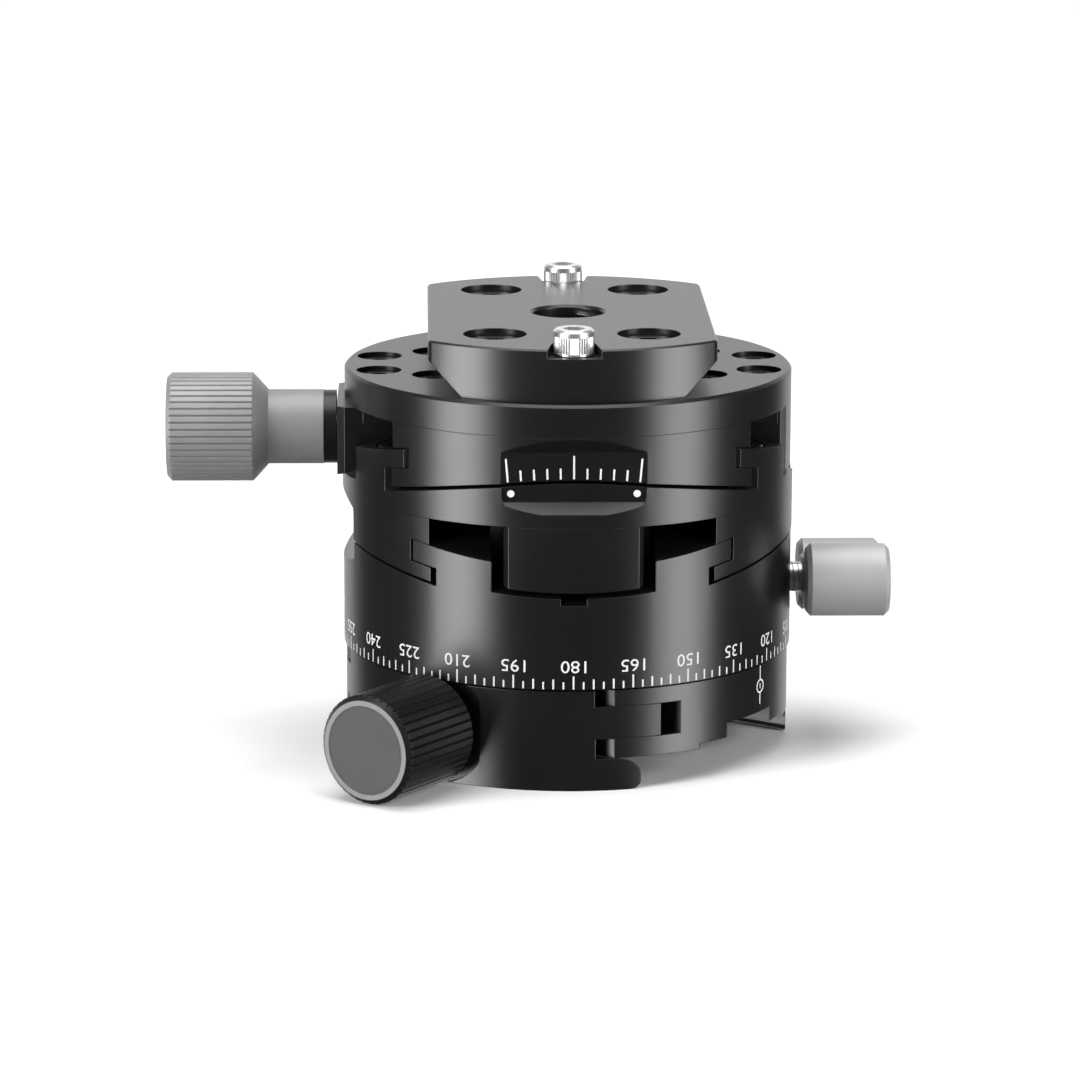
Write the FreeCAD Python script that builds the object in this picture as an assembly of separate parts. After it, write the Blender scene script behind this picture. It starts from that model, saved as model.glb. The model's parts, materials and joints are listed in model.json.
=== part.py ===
import FreeCAD, Part
import math
import os

# Panoramic tripod head: a turning dial base, two crossed arc slides and a dovetail plate.
# The frame is in millimetres with +Z up. The origin lies on the pan axis, on the roof of the
# relief groove in the clamp. +X points to the side of the pan lock and -Y to the scale window
# of the upper slide. The clamp is below and the dovetail plate is on top.

V = FreeCAD.Vector
X_AXIS = V(1, 0, 0)
Y_AXIS = V(0, 1, 0)
Z_AXIS = V(0, 0, 1)

# Clearances that tie the pieces together
RUNNING_FIT = 0.05
SLIDING_GAP = 0.12
SEAM_GAP = 0.4
OVERCUT = 2.0
seam_turn_deg = 50.0

# Outside radii of the stacked rings
dial_radius = 30.0
clamp_inset = 0.3
middle_proud = 0.1
top_inset = 0.2
clamp_radius = dial_radius - clamp_inset
middle_radius = dial_radius + middle_proud
top_radius = dial_radius - top_inset

# Clamp under the dial, drawn with its screw along -Y and then turned
clamp_turn_deg = 36.5
seat_drop = 2.7
shoulder_drop = 2.0
relief_half_width = 5.2
shoulder_half_width = 9.8
clamp_height = 6.35
jaw_depth = 4.3
lip_reach = 17.5
lip_top_round = 2.3
lip_low_round = 1.2
fixed_finger_end = 20.3
finger_gap_upper = 1.8
finger_gap_lower = 1.7
tongue_low = -0.15
tongue_high = 4.2
tongue_end = 15.2
tongue_pocket_end = 12.6
jaw_flat_depth = 0.7
jaw_flat = clamp_radius - jaw_flat_depth

# Clamp screw, washer, clip and knob
clamp_axis_height = 0.35
clamp_screw_radius = 1.95
clamp_screw_tip = 6.6
clamp_screw_depth = 5.7
clip_radius = 2.5
clip_thickness = 0.6
clip_groove_depth = 0.4
clip_bore_gap = 0.15
knob_pocket_gap = 0.4
washer_radius = 3.9
washer_thickness = 1.8
clamp_knob_radius = 7.17
clamp_knob_length = 14.3
clamp_knob_flutes = 40
clamp_cap_radius = 5.95
clamp_cap_thickness = 1.6
clamp_cap_bevel = 0.25
clamp_screw_grip = 9.0

# Guide pins of the jaw
guide_pin_radius = 1.5
guide_pin_spread = 13.0
guide_pin_height = 2.0
guide_pin_root = 7.0
guide_bore_wall = 4.2
guide_pin_travel = 3.0
guide_bore_end = clamp_radius - guide_bore_wall
guide_pin_tip = guide_bore_end - guide_pin_travel

# Pan joint inside the dial body
pan_gap = 0.25
spindle_radius = 12.0
spindle_foot = 3.0
flange_radius = 17.0
flange_height = 4.9
cavity_clearance = 0.4
washer_gap = 0.05
washer_bore_gap = 0.3
thrust_thickness = 0.7
retainer_wall = 5.5
retainer_radius = flange_radius + retainer_wall
retainer_height = 2.7
retainer_recess = 0.3
bush_wall = 1.0
retainer_screw_circle = flange_radius + retainer_wall / 2
retainer_screw_count = 6
retainer_screw_length = 6.2
spindle_screw_places = (-9.5, -4.5, 4.5, 9.5)
spindle_screw_length = 9.5

# Pan lock
lock_drop = 0.65
lock_screw_radius = 2.0
lock_pad_length = 4.0
lock_pad_radius = 1.95
lock_knob_gap = 1.6
lock_knob_start = dial_radius + lock_knob_gap
lock_knob_length = 11.0
lock_lobe_radius = 4.85
lock_lobe_offset = 7.6
lock_web_thickness = 6.4
lock_tilt_deg = 10.0
lock_edge = 0.6
lock_grip = 6.0

# Arc slides: pivots, thicknesses at their middle, windows and rack screws
lower_pivot = -78.4
lower_carrier_height = 15.45
lower_neck = 2.3
lower_head = 2.65
lower_plane_gap = 0.95
lower_window_below = 3.95
lower_window_above = 5.7
lower_rack_screw_angle_deg = 12.4
lower_rack_screw_length = 3.4
upper_pivot = -63.4
upper_carrier_height = 5.55
upper_neck = 2.95
upper_head = 2.35
upper_plane_gap = 0.9
upper_window_below = 3.8
upper_window_above = 6.0
upper_rack_screw_angle_deg = 10.5
upper_rack_screw_length = 2.4

# Tee rails and the rails that hook under them
tee_setback = 9.3
neck_step = 3.0
hook_gap = 0.7
rail_lip = 0.2
tee_half_width = dial_radius - tee_setback
neck_half_width = tee_half_width - neck_step
hook_half_width = neck_half_width + hook_gap
inner_face_half_width = hook_half_width + rail_lip
channel_half_width = 10.6
channel_step = 1.1
rack_groove_half_width = 4.0
rail_sweep_deg = 26.0
rail_stock = 12.0
relief_slot_half_width = 1.7
relief_slot_depth = 0.85
rack_groove_half_angle_deg = 16.2

# Worm drives
worm_pitch = 2.0
worm_tip_radius = 2.7
worm_root_radius = 1.9
worm_pitch_radius = 2.375
worm_length = 12.0
mesh_depth = 0.65
thread_bury = 0.25
worm_core_overrun = 0.9
tooth_depth = 0.95
tooth_half_angle_deg = 20.0
tooth_backlash = 0.35
rack_base = 1.2
rack_spaces_each_side = 11
thrust_collar_radius = 2.9
thrust_collar_length = 1.9
block_length = 9.0
block_proud = 0.9
block_half_width = 9.0
block_corner = 1.0
block_rim_edge = 0.6
block_floor_gap = 0.8
block_depth = 12.0
journal_radius = 1.75
worm_bush_radius = 2.8
bush_depth = 4.6
collar_pocket_gap = 0.4
block_inner_face = dial_radius - block_length
bush_start = dial_radius - bush_depth
worm_span = bush_start - 2 * RUNNING_FIT
blind_wall = 1.2
shaft_end_play = 0.3
worm_axis_drop = 4.3

# Racks and their screws
rack_head_radius = 1.9
rack_head_height = 0.7
rack_shank_radius = 1.0

# Tilt knobs
collar_gap = 0.15
collar_radius = 4.9
collar_thickness = 1.7
stem_radius = 4.97
stem_length = 7.35
cone_length = 1.5
tilt_knob_radius = 7.25
tilt_knob_length = 12.0
tilt_knob_flutes = 48
tilt_knob_round = 0.6
tilt_shaft_grip = 12.0
grub_radius = 1.5
grub_place = 4.0
grub_sink = 0.3
flute_depth = 0.28
flute_share = 0.34

# Scale windows
window_half_width = 9.4
window_flat = math.sqrt(top_radius ** 2 - window_half_width ** 2)
window_top_slope = 1.9
window_low_slope = 1.4
window_round = 2.4

# Top disc and dovetail plate
disc_thickness = 4.3
disc_bevel = 0.4
plate_thickness = 6.95
plate_half_width = 18.7
plate_edge_height = 2.55
plate_end_setback = 1.5
plate_end_radius = dial_radius - plate_end_setback
plate_corner_round = 1.3
plate_edge_bevel = 0.25
camera_thread_radius = 4.76
camera_thread_mouth = 0.35
plate_screw_x = 10.0
plate_screw_y = 16.8
plate_counterbore_radius = 4.15
plate_head_radius = 3.5
plate_head_height = 2.6
plate_head_sink = 0.8
plate_shank_radius = 2.0
plate_thread_in_disc = 3.6
stop_screw_setback = 3.5
stop_screw_y = plate_end_radius - stop_screw_setback
stop_head_radius = 2.62
stop_head_height = 3.4
stop_shank_radius = 1.5
stop_shank_length = 4.4
stop_notch_floor = 1.2
stop_notch_half_width = 3.0
stop_notch_flare = 0.8

# Small screws
small_screw_radius = 1.5
small_head_radius = 2.75
small_head_height = 2.4
small_head_sink = 0.6
small_bore_radius = 3.0
tiny_screw_radius = 1.25
tiny_head_radius = 2.2
tiny_head_height = 1.3
pit_share = 0.75
pit_depth_share = 0.8
socket_share = 0.48
socket_depth = 1.2
screw_edge = 0.2
block_screw_setback = 4.85
block_screw_x = dial_radius - block_screw_setback
block_screw_y = 5.1
block_screw_length = 6.6
ear_screw_step = 3.5
ear_screw_y = 8.4
ear_half_width = 11.6
ear_thickness = 1.65
ear_setback = 0.2
ear_clearance = 0.25
lower_seat_rise = 2.55
lower_screw_length = 9.0
rail_screw_x = 11.0
rail_screw_setback = 5.7
rail_screw_y = dial_radius - rail_screw_setback
rail_screw_length = 8.5
rail_head_radius = 2.6
rail_head_height = 1.6
cheek_screw_setback = 7.5
cheek_screw_x = dial_radius - cheek_screw_setback
cheek_screw_y = 14.0
cheek_seat_rise = 5.45
cheek_screw_length = 10.4

rail_screw_sizes = (rail_head_radius, rail_head_height, small_screw_radius, rail_screw_length, -1)

# Heights worked out from the sizes above
dial_bottom = clamp_height + pan_gap
retainer_low = dial_bottom + retainer_recess
retainer_top = retainer_low + retainer_height
flange_low = retainer_top + washer_gap + thrust_thickness + washer_gap
flange_top = flange_low + flange_height
cavity_top = flange_top + washer_gap + thrust_thickness + washer_gap
jaw_bottom = -seat_drop - jaw_depth
lock_height = flange_top - lock_drop


class Stage:
    """One arc slide, drawn with its rail along X, its pivot along Y and its knob at -X."""

    def __init__(self, underside, carrier_height, pivot, neck, head, plane_gap, radius, window_below,
                 window_above, turn_deg, screw_angle_deg, screw_length):
        ledge_height = underside + carrier_height
        self.pivot = pivot
        self.ledge = ledge_height - pivot
        self.head_low = self.ledge + neck
        self.head_top = self.head_low + head
        self.floor = self.ledge + channel_step
        self.plane = pivot + self.head_top + plane_gap
        self.radius = radius
        self.window = (ledge_height - window_below, ledge_height + window_above)
        self.turn_deg = turn_deg
        self.axis_height = self.plane - worm_axis_drop
        self.axis_radius = self.axis_height - pivot
        self.rack_tip = self.axis_radius - worm_tip_radius + mesh_depth
        self.rack_root = self.rack_tip - tooth_depth
        self.groove = self.rack_root - rack_base
        self.block_low = self.floor + block_floor_gap
        self.block_end = radius + block_proud
        self.knob_start = self.block_end + collar_gap + collar_thickness
        self.screw_angle_deg = screw_angle_deg
        self.screw_length = screw_length

    def placed(self, shape):
        """The shape turned from the drawing position to its place on the head."""
        turned = shape.copy()
        turned.rotate(V(0, 0, 0), Z_AXIS, self.turn_deg)
        return turned


lower = Stage(dial_bottom, lower_carrier_height, lower_pivot, lower_neck, lower_head, lower_plane_gap,
              middle_radius, lower_window_below, lower_window_above, -90.0,
              lower_rack_screw_angle_deg, lower_rack_screw_length)
upper = Stage(lower.plane, upper_carrier_height, upper_pivot, upper_neck, upper_head, upper_plane_gap,
              top_radius, upper_window_below, upper_window_above, 0.0,
              upper_rack_screw_angle_deg, upper_rack_screw_length)
disc_bottom = upper.plane
disc_top = disc_bottom + disc_thickness
plate_top = disc_top + plate_thickness
lower_screw_seat = lower.plane + lower_seat_rise
cheek_screw_seat = lower.plane + cheek_seat_rise
deck_screw_seat = disc_top - small_head_height - small_head_sink
ear_low_radius = upper.plane - ear_thickness - upper.pivot
ear_start = math.sqrt((upper.head_top + ear_clearance) ** 2 - ear_low_radius ** 2)
ear_screw_x = ear_start + ear_screw_step


def cylinder(radius, low, high):
    """Upright cylinder on the pan axis between two heights, its seam clear of the main planes."""
    body = Part.makeCylinder(radius, high - low, V(0, 0, low), Z_AXIS)
    body.rotate(V(0, 0, 0), Z_AXIS, seam_turn_deg)
    return body


def rod(radius, start, end):
    """Cylinder between two points."""
    path = end.sub(start)
    return Part.makeCylinder(radius, path.Length, start, path)


def tube(outer, inner, low, high):
    """Upright ring on the pan axis."""
    return cylinder(outer, low, high).cut(cylinder(inner, low - 1, high + 1))


def block(x0, x1, y0, y1, z0, z1):
    """Box between two corners."""
    return Part.makeBox(x1 - x0, y1 - y0, z1 - z0, V(x0, y0, z0))


def fused(shapes):
    """One solid out of shapes that overlap or touch."""
    first = shapes[0]
    for other in shapes[1:]:
        first = first.fuse(other)
    return first.removeSplitter()


def group(shapes):
    """Separate solids that share one node."""
    return Part.makeCompound([solid for shape in shapes for solid in shape.Solids])


def polygon_face(points):
    """Flat face inside a closed outline of straight lines."""
    return Part.Face(Part.makePolygon(list(points) + [points[0]]))


def prism_along_x(outline, x0, x1):
    """Solid with a (y, z) outline, drawn out along X."""
    return polygon_face([V(x0, y, z) for y, z in outline]).extrude(V(x1 - x0, 0, 0))


def swept_about_pivot(stage, outline, half_angle_deg=rail_sweep_deg):
    """Solid with a (y, radius) outline, turned about the pivot line of a stage."""
    face = polygon_face([V(0, y, stage.pivot + r) for y, r in outline])
    centre = V(0, 0, stage.pivot)
    face.rotate(centre, Y_AXIS, -half_angle_deg)
    return face.revolve(centre, Y_AXIS, 2 * half_angle_deg)


def ring_band(stage, y0, y1, r0, r1, half_angle_deg=rail_sweep_deg):
    """Arc band with a rectangular section, turned about the pivot line."""
    outline = [(y0, r0), (y1, r0), (y1, r1), (y0, r1)]
    return swept_about_pivot(stage, outline, half_angle_deg)


def turned_profile(points, axis_start, axis_end):
    """Solid of revolution from (distance along, radius) points about the line start to end."""
    outline = [V(r, 0, d) for d, r in points]
    solid = polygon_face(outline).revolve(V(0, 0, 0), Z_AXIS, 360)
    direction = axis_end.sub(axis_start)
    turn = FreeCAD.Rotation(Z_AXIS, direction)
    solid.Placement = FreeCAD.Placement(axis_start, turn)
    return solid


def hexagon_socket(radius, depth, top, x=0.0, y=0.0):
    """Upright six-sided prism that cuts a socket into a screw head."""
    corners = []
    for k in range(6):
        angle = math.radians(60 * k)
        corners.append(V(x + radius * math.cos(angle), y + radius * math.sin(angle), top - depth))
    return polygon_face(corners).extrude(V(0, 0, depth + 1))


def cap_screw(x, y, head_top, head_radius, head_height, shank_radius, shank_length):
    """Socket cap screw that points down."""
    seat = head_top - head_height
    head = Part.makeCylinder(head_radius, head_height, V(x, y, seat))
    rim = [edge for edge in head.Edges if edge.BoundBox.ZMin > head_top - 0.01]
    head = head.makeChamfer(screw_edge, rim)
    shank = Part.makeCylinder(shank_radius, shank_length + 0.1, V(x, y, seat - shank_length))
    socket = hexagon_socket(head_radius * socket_share, socket_depth, head_top, x, y)
    return fused([head, shank]).cut(socket)


def countersunk_screw(x, y, face, head_radius, head_height, shank_radius, length, up):
    """Countersunk screw with its flat head in a face; up is 1 if it points up and -1 if down."""
    cone = Part.makeCone(head_radius, shank_radius, head_height, V(x, y, face), V(0, 0, up))
    shank = rod(shank_radius, V(x, y, face + up * head_height), V(x, y, face + up * length))
    depth = head_height * pit_depth_share
    pit = Part.makeCylinder(shank_radius * pit_share, depth, V(x, y, face), V(0, 0, up))
    return fused([cone, shank]).cut(pit)


def countersink(x, y, face, head_radius, head_height, shank_radius, length, up):
    """Hole that a countersunk screw fills face to face."""
    cone = Part.makeCone(head_radius, shank_radius, head_height, V(x, y, face), V(0, 0, up))
    shank = rod(shank_radius, V(x, y, face + up * head_height), V(x, y, face + up * length))
    return fused([cone, shank])


def fluted_face(radius, count, depth):
    """Flat outline of a knob: arcs of the rim with a narrow vee between them."""
    step = 2 * math.pi / count
    half_flute = step * flute_share / 2
    edges = []
    for k in range(count):
        start = k * step + half_flute
        end = (k + 1) * step - half_flute
        middle = (start + end) / 2
        valley = (k + 1) * step
        a = V(radius * math.cos(start), radius * math.sin(start), 0)
        m = V(radius * math.cos(middle), radius * math.sin(middle), 0)
        b = V(radius * math.cos(end), radius * math.sin(end), 0)
        c = V((radius - depth) * math.cos(valley), (radius - depth) * math.sin(valley), 0)
        following = valley + half_flute
        d = V(radius * math.cos(following), radius * math.sin(following), 0)
        edges.append(Part.Arc(a, m, b).toShape())
        edges.append(Part.LineSegment(b, c).toShape())
        edges.append(Part.LineSegment(c, d).toShape())
    return Part.Face(Part.Wire(edges))


def fluted_grip(radius, length, count, edge, start, direction):
    """Knurled cylinder with softened ends, from a start point along a direction."""
    grip = fluted_face(radius, count, flute_depth).extrude(V(0, 0, length))
    outline = [(0, 0), (0, radius - edge), (edge, radius), (length - edge, radius)]
    outline += [(length, radius - edge), (length, 0)]
    envelope = turned_profile(outline, V(0, 0, 0), Z_AXIS)
    grip = grip.common(envelope)
    grip.Placement = FreeCAD.Placement(start, FreeCAD.Rotation(Z_AXIS, direction))
    return grip


def clamp_placed(shape):
    """The shape turned from the clamp's drawing position to its place on the head."""
    turned = shape.copy()
    turned.rotate(V(0, 0, 0), Z_AXIS, -clamp_turn_deg)
    return turned


def lip_rounded(body, side, top):
    """The body with the nose of its jaw lip rounded above and below, on the side -1 or 1."""
    for height, radius in ((top, lip_top_round), (jaw_bottom, lip_low_round)):
        nose = [edge for edge in body.Edges
                if abs(edge.BoundBox.YMax - side * lip_reach) < RUNNING_FIT
                and edge.BoundBox.YLength < RUNNING_FIT
                and abs(edge.BoundBox.ZMax - height) < RUNNING_FIT and edge.BoundBox.ZLength < RUNNING_FIT]
        body = body.makeFillet(radius, nose)
    return body


def clamp_base():
    """Fixed half of the clamp: disc, fixed lip, two fingers and the bores for screw and pins."""
    reach = clamp_radius + OVERCUT
    disc = cylinder(clamp_radius, -seat_drop, clamp_height)
    lip = lip_rounded(block(-reach, reach, lip_reach, reach, jaw_bottom, -seat_drop), 1, -seat_drop)
    body = fused([disc, lip.common(cylinder(clamp_radius, jaw_bottom, -seat_drop))])
    body = body.cut(block(-reach, reach, -relief_half_width, relief_half_width, jaw_bottom, 0))
    for side in (-1, 1):
        y0, y1 = sorted((side * relief_half_width, side * shoulder_half_width))
        body = body.cut(block(-reach, reach, y0, y1, jaw_bottom, -shoulder_drop))
    body = body.cut(block(-reach, reach, -reach, -fixed_finger_end, jaw_bottom, clamp_height + 1))
    body = body.cut(block(-reach, reach, -reach, -tongue_pocket_end, tongue_low, tongue_high))
    screw_line = V(0, -reach, clamp_axis_height)
    channel_end = V(0, -tongue_pocket_end, clamp_axis_height)
    channel = rod(clip_radius + clip_bore_gap, screw_line, channel_end)
    thread_end = V(0, -clamp_screw_depth, clamp_axis_height)
    thread = rod(clamp_screw_radius + RUNNING_FIT, screw_line, thread_end)
    body = body.cut(channel).cut(thread)
    for x in (-guide_pin_spread, guide_pin_spread):
        mouth = V(x, -reach, guide_pin_height)
        body = body.cut(rod(guide_pin_radius, mouth, V(x, -guide_pin_root, guide_pin_height)))
    body = body.cut(cylinder(spindle_radius, spindle_foot, clamp_height + 1))
    sizes = (tiny_head_radius, tiny_head_height, tiny_screw_radius, spindle_screw_length, 1)
    for x in spindle_screw_places:
        body = body.cut(countersink(x, 0, 0, *sizes))
    return clamp_placed(body)


def clamp_jaw():
    """Sliding half of the clamp with its tongue, lip, screw bore and pin bores."""
    reach = clamp_radius + OVERCUT
    lip_top = -seat_drop - 2 * RUNNING_FIT
    outline = [(-reach, clamp_height), (-fixed_finger_end - finger_gap_upper, clamp_height)]
    outline += [(-fixed_finger_end - finger_gap_upper, tongue_high - RUNNING_FIT)]
    outline += [(-tongue_end, tongue_high - RUNNING_FIT), (-tongue_end, tongue_low + RUNNING_FIT)]
    outline += [(-fixed_finger_end - finger_gap_lower, tongue_low + RUNNING_FIT)]
    outline += [(-fixed_finger_end - finger_gap_lower, lip_top), (-lip_reach, lip_top)]
    outline += [(-lip_reach, jaw_bottom), (-reach, jaw_bottom)]
    body = lip_rounded(prism_along_x(outline, -reach, reach), -1, lip_top)
    body = body.common(cylinder(clamp_radius, jaw_bottom, clamp_height))
    axis_out = V(0, -reach - clamp_knob_length, clamp_axis_height)
    body = body.cut(rod(clamp_knob_radius + knob_pocket_gap, axis_out, V(0, -jaw_flat, clamp_axis_height)))
    body = body.cut(rod(clamp_screw_radius + RUNNING_FIT, axis_out, V(0, 0, clamp_axis_height)))
    for x in (-guide_pin_spread, guide_pin_spread):
        blind_end = V(x, -guide_bore_end, guide_pin_height)
        body = body.cut(rod(guide_pin_radius + RUNNING_FIT, blind_end, V(x, 0, guide_pin_height)))
    return clamp_placed(body)


def guide_pins():
    """Two dowels pressed into the base, on which the jaw slides."""
    pins = []
    for x in (-guide_pin_spread, guide_pin_spread):
        tip = V(x, -guide_pin_tip, guide_pin_height)
        pins.append(rod(guide_pin_radius, tip, V(x, -guide_pin_root, guide_pin_height)))
    return clamp_placed(group(pins))


def clamp_fastening():
    """Washer, screw, clip, knob and end cap of the clamp, along its axis."""
    z = clamp_axis_height
    knob_back = jaw_flat + washer_thickness + 2 * RUNNING_FIT
    knob_face = knob_back + clamp_knob_length
    hole = rod(clamp_screw_radius + RUNNING_FIT, V(0, -knob_face, z), V(0, 0, z))
    washer_front = jaw_flat + RUNNING_FIT
    washer = rod(washer_radius, V(0, -washer_front - washer_thickness, z), V(0, -washer_front, z))
    screw_end = knob_back + clamp_screw_grip
    screw = rod(clamp_screw_radius, V(0, -screw_end, z), V(0, -clamp_screw_tip, z))
    clip_front = tongue_end - RUNNING_FIT
    clip = rod(clip_radius, V(0, -clip_front, z), V(0, -clip_front + clip_thickness, z))
    groove_core = clamp_screw_radius - clip_groove_depth
    groove = clip.cut(rod(groove_core, V(0, -screw_end, z), V(0, 0, z)))
    knob = fluted_grip(clamp_knob_radius, clamp_knob_length, clamp_knob_flutes, tilt_knob_round,
                       V(0, -knob_back, z), V(0, -1, 0))
    cap_seat = rod(clamp_cap_radius, V(0, -knob_face - 1, z), V(0, -knob_face + clamp_cap_thickness, z))
    knob = knob.cut(cap_seat).cut(rod(clamp_screw_radius, V(0, -screw_end, z), V(0, 0, z)))
    bevel = clamp_cap_bevel
    outline = [(0, 0), (0, clamp_cap_radius), (clamp_cap_thickness - bevel, clamp_cap_radius)]
    outline += [(clamp_cap_thickness, clamp_cap_radius - bevel), (clamp_cap_thickness, 0)]
    cap = turned_profile(outline, V(0, -knob_face + clamp_cap_thickness, z), V(0, -knob_face, z))
    shapes = {"clamp_washer": washer.cut(hole), "clamp_screw": screw.cut(groove), "clamp_clip": groove,
              "clamp_knob": knob, "clamp_knob_cap": cap}
    return {name: clamp_placed(shape) for name, shape in shapes.items()}


def pan_joint():
    """Spindle, its screws, the retainer under the dial body, the bush and two thrust washers."""
    shaft = cylinder(spindle_radius, spindle_foot, flange_low + 1)
    flange = cylinder(flange_radius, flange_low, flange_top)
    spindle = fused([shaft, flange])
    screws = []
    for x in spindle_screw_places:
        sizes = (tiny_head_radius, tiny_head_height, tiny_screw_radius, spindle_screw_length, 1)
        screws.append(clamp_placed(countersunk_screw(x, 0, 0, *sizes)))
        spindle = spindle.cut(clamp_placed(countersink(x, 0, 0, *sizes)))
    bush_outer = spindle_radius + RUNNING_FIT + bush_wall
    retainer = tube(retainer_radius, bush_outer, retainer_low, retainer_top)
    retainer_screws = []
    for place in retainer_screw_spots():
        sizes = (tiny_head_radius, tiny_head_height, tiny_screw_radius, retainer_screw_length, 1)
        retainer_screws.append(countersunk_screw(place.x, place.y, retainer_low, *sizes))
        retainer = retainer.cut(countersink(place.x, place.y, retainer_low, *sizes))
    lower_low = retainer_top + washer_gap
    upper_low = flange_top + washer_gap
    washer_outer = flange_radius - RUNNING_FIT
    washer_bore = spindle_radius + washer_bore_gap
    return {
        "spindle": spindle,
        "spindle_screws": group(screws),
        "spindle_retainer": retainer,
        "retainer_screws": group(retainer_screws),
        "pan_bush": tube(bush_outer, spindle_radius + RUNNING_FIT, retainer_low, retainer_top),
        "lower_thrust_washer": tube(washer_outer, washer_bore, lower_low, lower_low + thrust_thickness),
        "upper_thrust_washer": cylinder(washer_outer, upper_low, upper_low + thrust_thickness),
    }


def retainer_screw_spots():
    """Places of the retainer screws on their circle."""
    spots = []
    for k in range(retainer_screw_count):
        angle = 2 * math.pi * (k + 0.5) / retainer_screw_count
        spots.append(V(retainer_screw_circle * math.cos(angle), retainer_screw_circle * math.sin(angle), 0))
    return spots


def tee_rail(stage, low):
    """Stage carrier: a disc with the tee rail, its channel and the rack groove on top."""
    deep = stage.ledge - 2 * (stage.plane - low)
    wide = stage.radius + OVERCUT
    base = [(-wide, deep), (wide, deep), (wide, stage.ledge), (neck_half_width, stage.ledge)]
    base += [(neck_half_width, stage.head_low), (tee_half_width, stage.head_low)]
    base += [(tee_half_width, stage.head_top), (channel_half_width, stage.head_top)]
    base += [(channel_half_width, stage.floor), (relief_slot_half_width, stage.floor)]
    base += [(relief_slot_half_width, stage.floor - relief_slot_depth)]
    mirrored = [(-y, r) for y, r in reversed(base[2:])]
    rail = swept_about_pivot(stage, base + mirrored)
    side = rack_groove_half_width
    groove = ring_band(stage, -side, side, stage.groove, stage.head_top, rack_groove_half_angle_deg)
    return stage.placed(rail.cut(groove))


def window_cutter(stage):
    """Flat with sloping ends and round corners that is milled across the seam for the tilt scale."""
    low, high = stage.window
    out = stage.radius + OVERCUT
    outline = [(-window_flat, low + window_low_slope), (-window_flat, high - window_top_slope)]
    outline += [(-stage.radius, high), (-out, high), (-out, low), (-stage.radius, low)]
    half = window_half_width
    frame = block(-half, half, -out, -window_flat, low, high)
    corners = [edge for edge in frame.Edges if edge.BoundBox.YLength > RUNNING_FIT]
    frame = frame.makeFillet(window_round, corners)
    return stage.placed(prism_along_x(outline, -half, half).common(frame))


def rack(stage):
    """Toothed arc in the groove of the channel, its spaces slanted to the worm's lead, and its screws."""
    pitch_radius = stage.axis_radius - worm_pitch_radius
    step = worm_pitch / pitch_radius
    half_angle = math.degrees((rack_spaces_each_side + 0.5) * step)
    side = rack_groove_half_width
    band = ring_band(stage, -side, side, stage.groove, stage.rack_tip, half_angle)
    slope = math.tan(math.radians(tooth_half_angle_deg))
    half_gap = worm_pitch / 4 + tooth_backlash / 4
    root_half = half_gap - slope * (pitch_radius - stage.rack_root)
    top = stage.rack_tip + tooth_depth
    top_half = half_gap + slope * (top - pitch_radius)
    lead = math.degrees(math.atan(worm_pitch / (2 * math.pi * worm_pitch_radius)))
    width = 2 * rack_groove_half_width
    outline = [V(-root_half, -width, stage.rack_root), V(root_half, -width, stage.rack_root)]
    outline += [V(top_half, -width, top), V(-top_half, -width, top)]
    space = polygon_face(outline).extrude(V(0, 2 * width, 0))
    space.rotate(V(0, 0, 0), Z_AXIS, -lead)
    space.translate(V(0, 0, stage.pivot))
    spaces = []
    for k in range(-rack_spaces_each_side, rack_spaces_each_side + 1):
        cutter = space.copy()
        cutter.rotate(V(0, 0, stage.pivot), Y_AXIS, math.degrees(k * step))
        spaces.append(cutter)
    band = band.cut(spaces)
    screws = []
    for screw, hole in rack_screw_pairs(stage):
        band = band.cut(hole)
        screws.append(screw)
    return stage.placed(band), stage.placed(group(screws))


def rack_screw_pairs(stage):
    """The two screws that hold a rack and the holes they fill, heads below the tooth roots."""
    sizes = (rack_head_radius, rack_head_height, rack_shank_radius, stage.screw_length, -1)
    face = stage.pivot + stage.rack_root
    pairs = []
    for side in (-1, 1):
        screw = countersunk_screw(0, 0, face, *sizes)
        mouth = rod(rack_head_radius, V(0, 0, face), V(0, 0, face + 2 * tooth_depth))
        hole = fused([countersink(0, 0, face, *sizes), mouth])
        for shape in (screw, hole):
            shape.rotate(V(0, 0, stage.pivot), Y_AXIS, side * stage.screw_angle_deg)
        pairs.append((screw, hole))
    return pairs


def rail_pair(stage, low_radius):
    """Two side rails of the moving half that hook under the tee rail of a stage."""
    wide = stage.radius + OVERCUT
    hook_low = low_radius + SEAM_GAP
    tall = stage.head_top + rail_stock
    outline = [(hook_half_width, hook_low), (wide, hook_low), (wide, tall), (inner_face_half_width, tall)]
    outline += [(inner_face_half_width, stage.head_top + SLIDING_GAP)]
    outline += [(tee_half_width + 2 * SLIDING_GAP, stage.head_top + SLIDING_GAP)]
    outline += [(tee_half_width + 2 * SLIDING_GAP, stage.head_low - SLIDING_GAP)]
    outline += [(hook_half_width, stage.head_low - SLIDING_GAP)]
    shell = cylinder(stage.radius, stage.pivot + stage.groove - rail_stock, stage.plane)
    rails = []
    for side in (1, -1):
        mirrored = [(side * y, r) for y, r in outline]
        rails.append(stage.placed(swept_about_pivot(stage, mirrored).common(shell)))
    return rails


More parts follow.
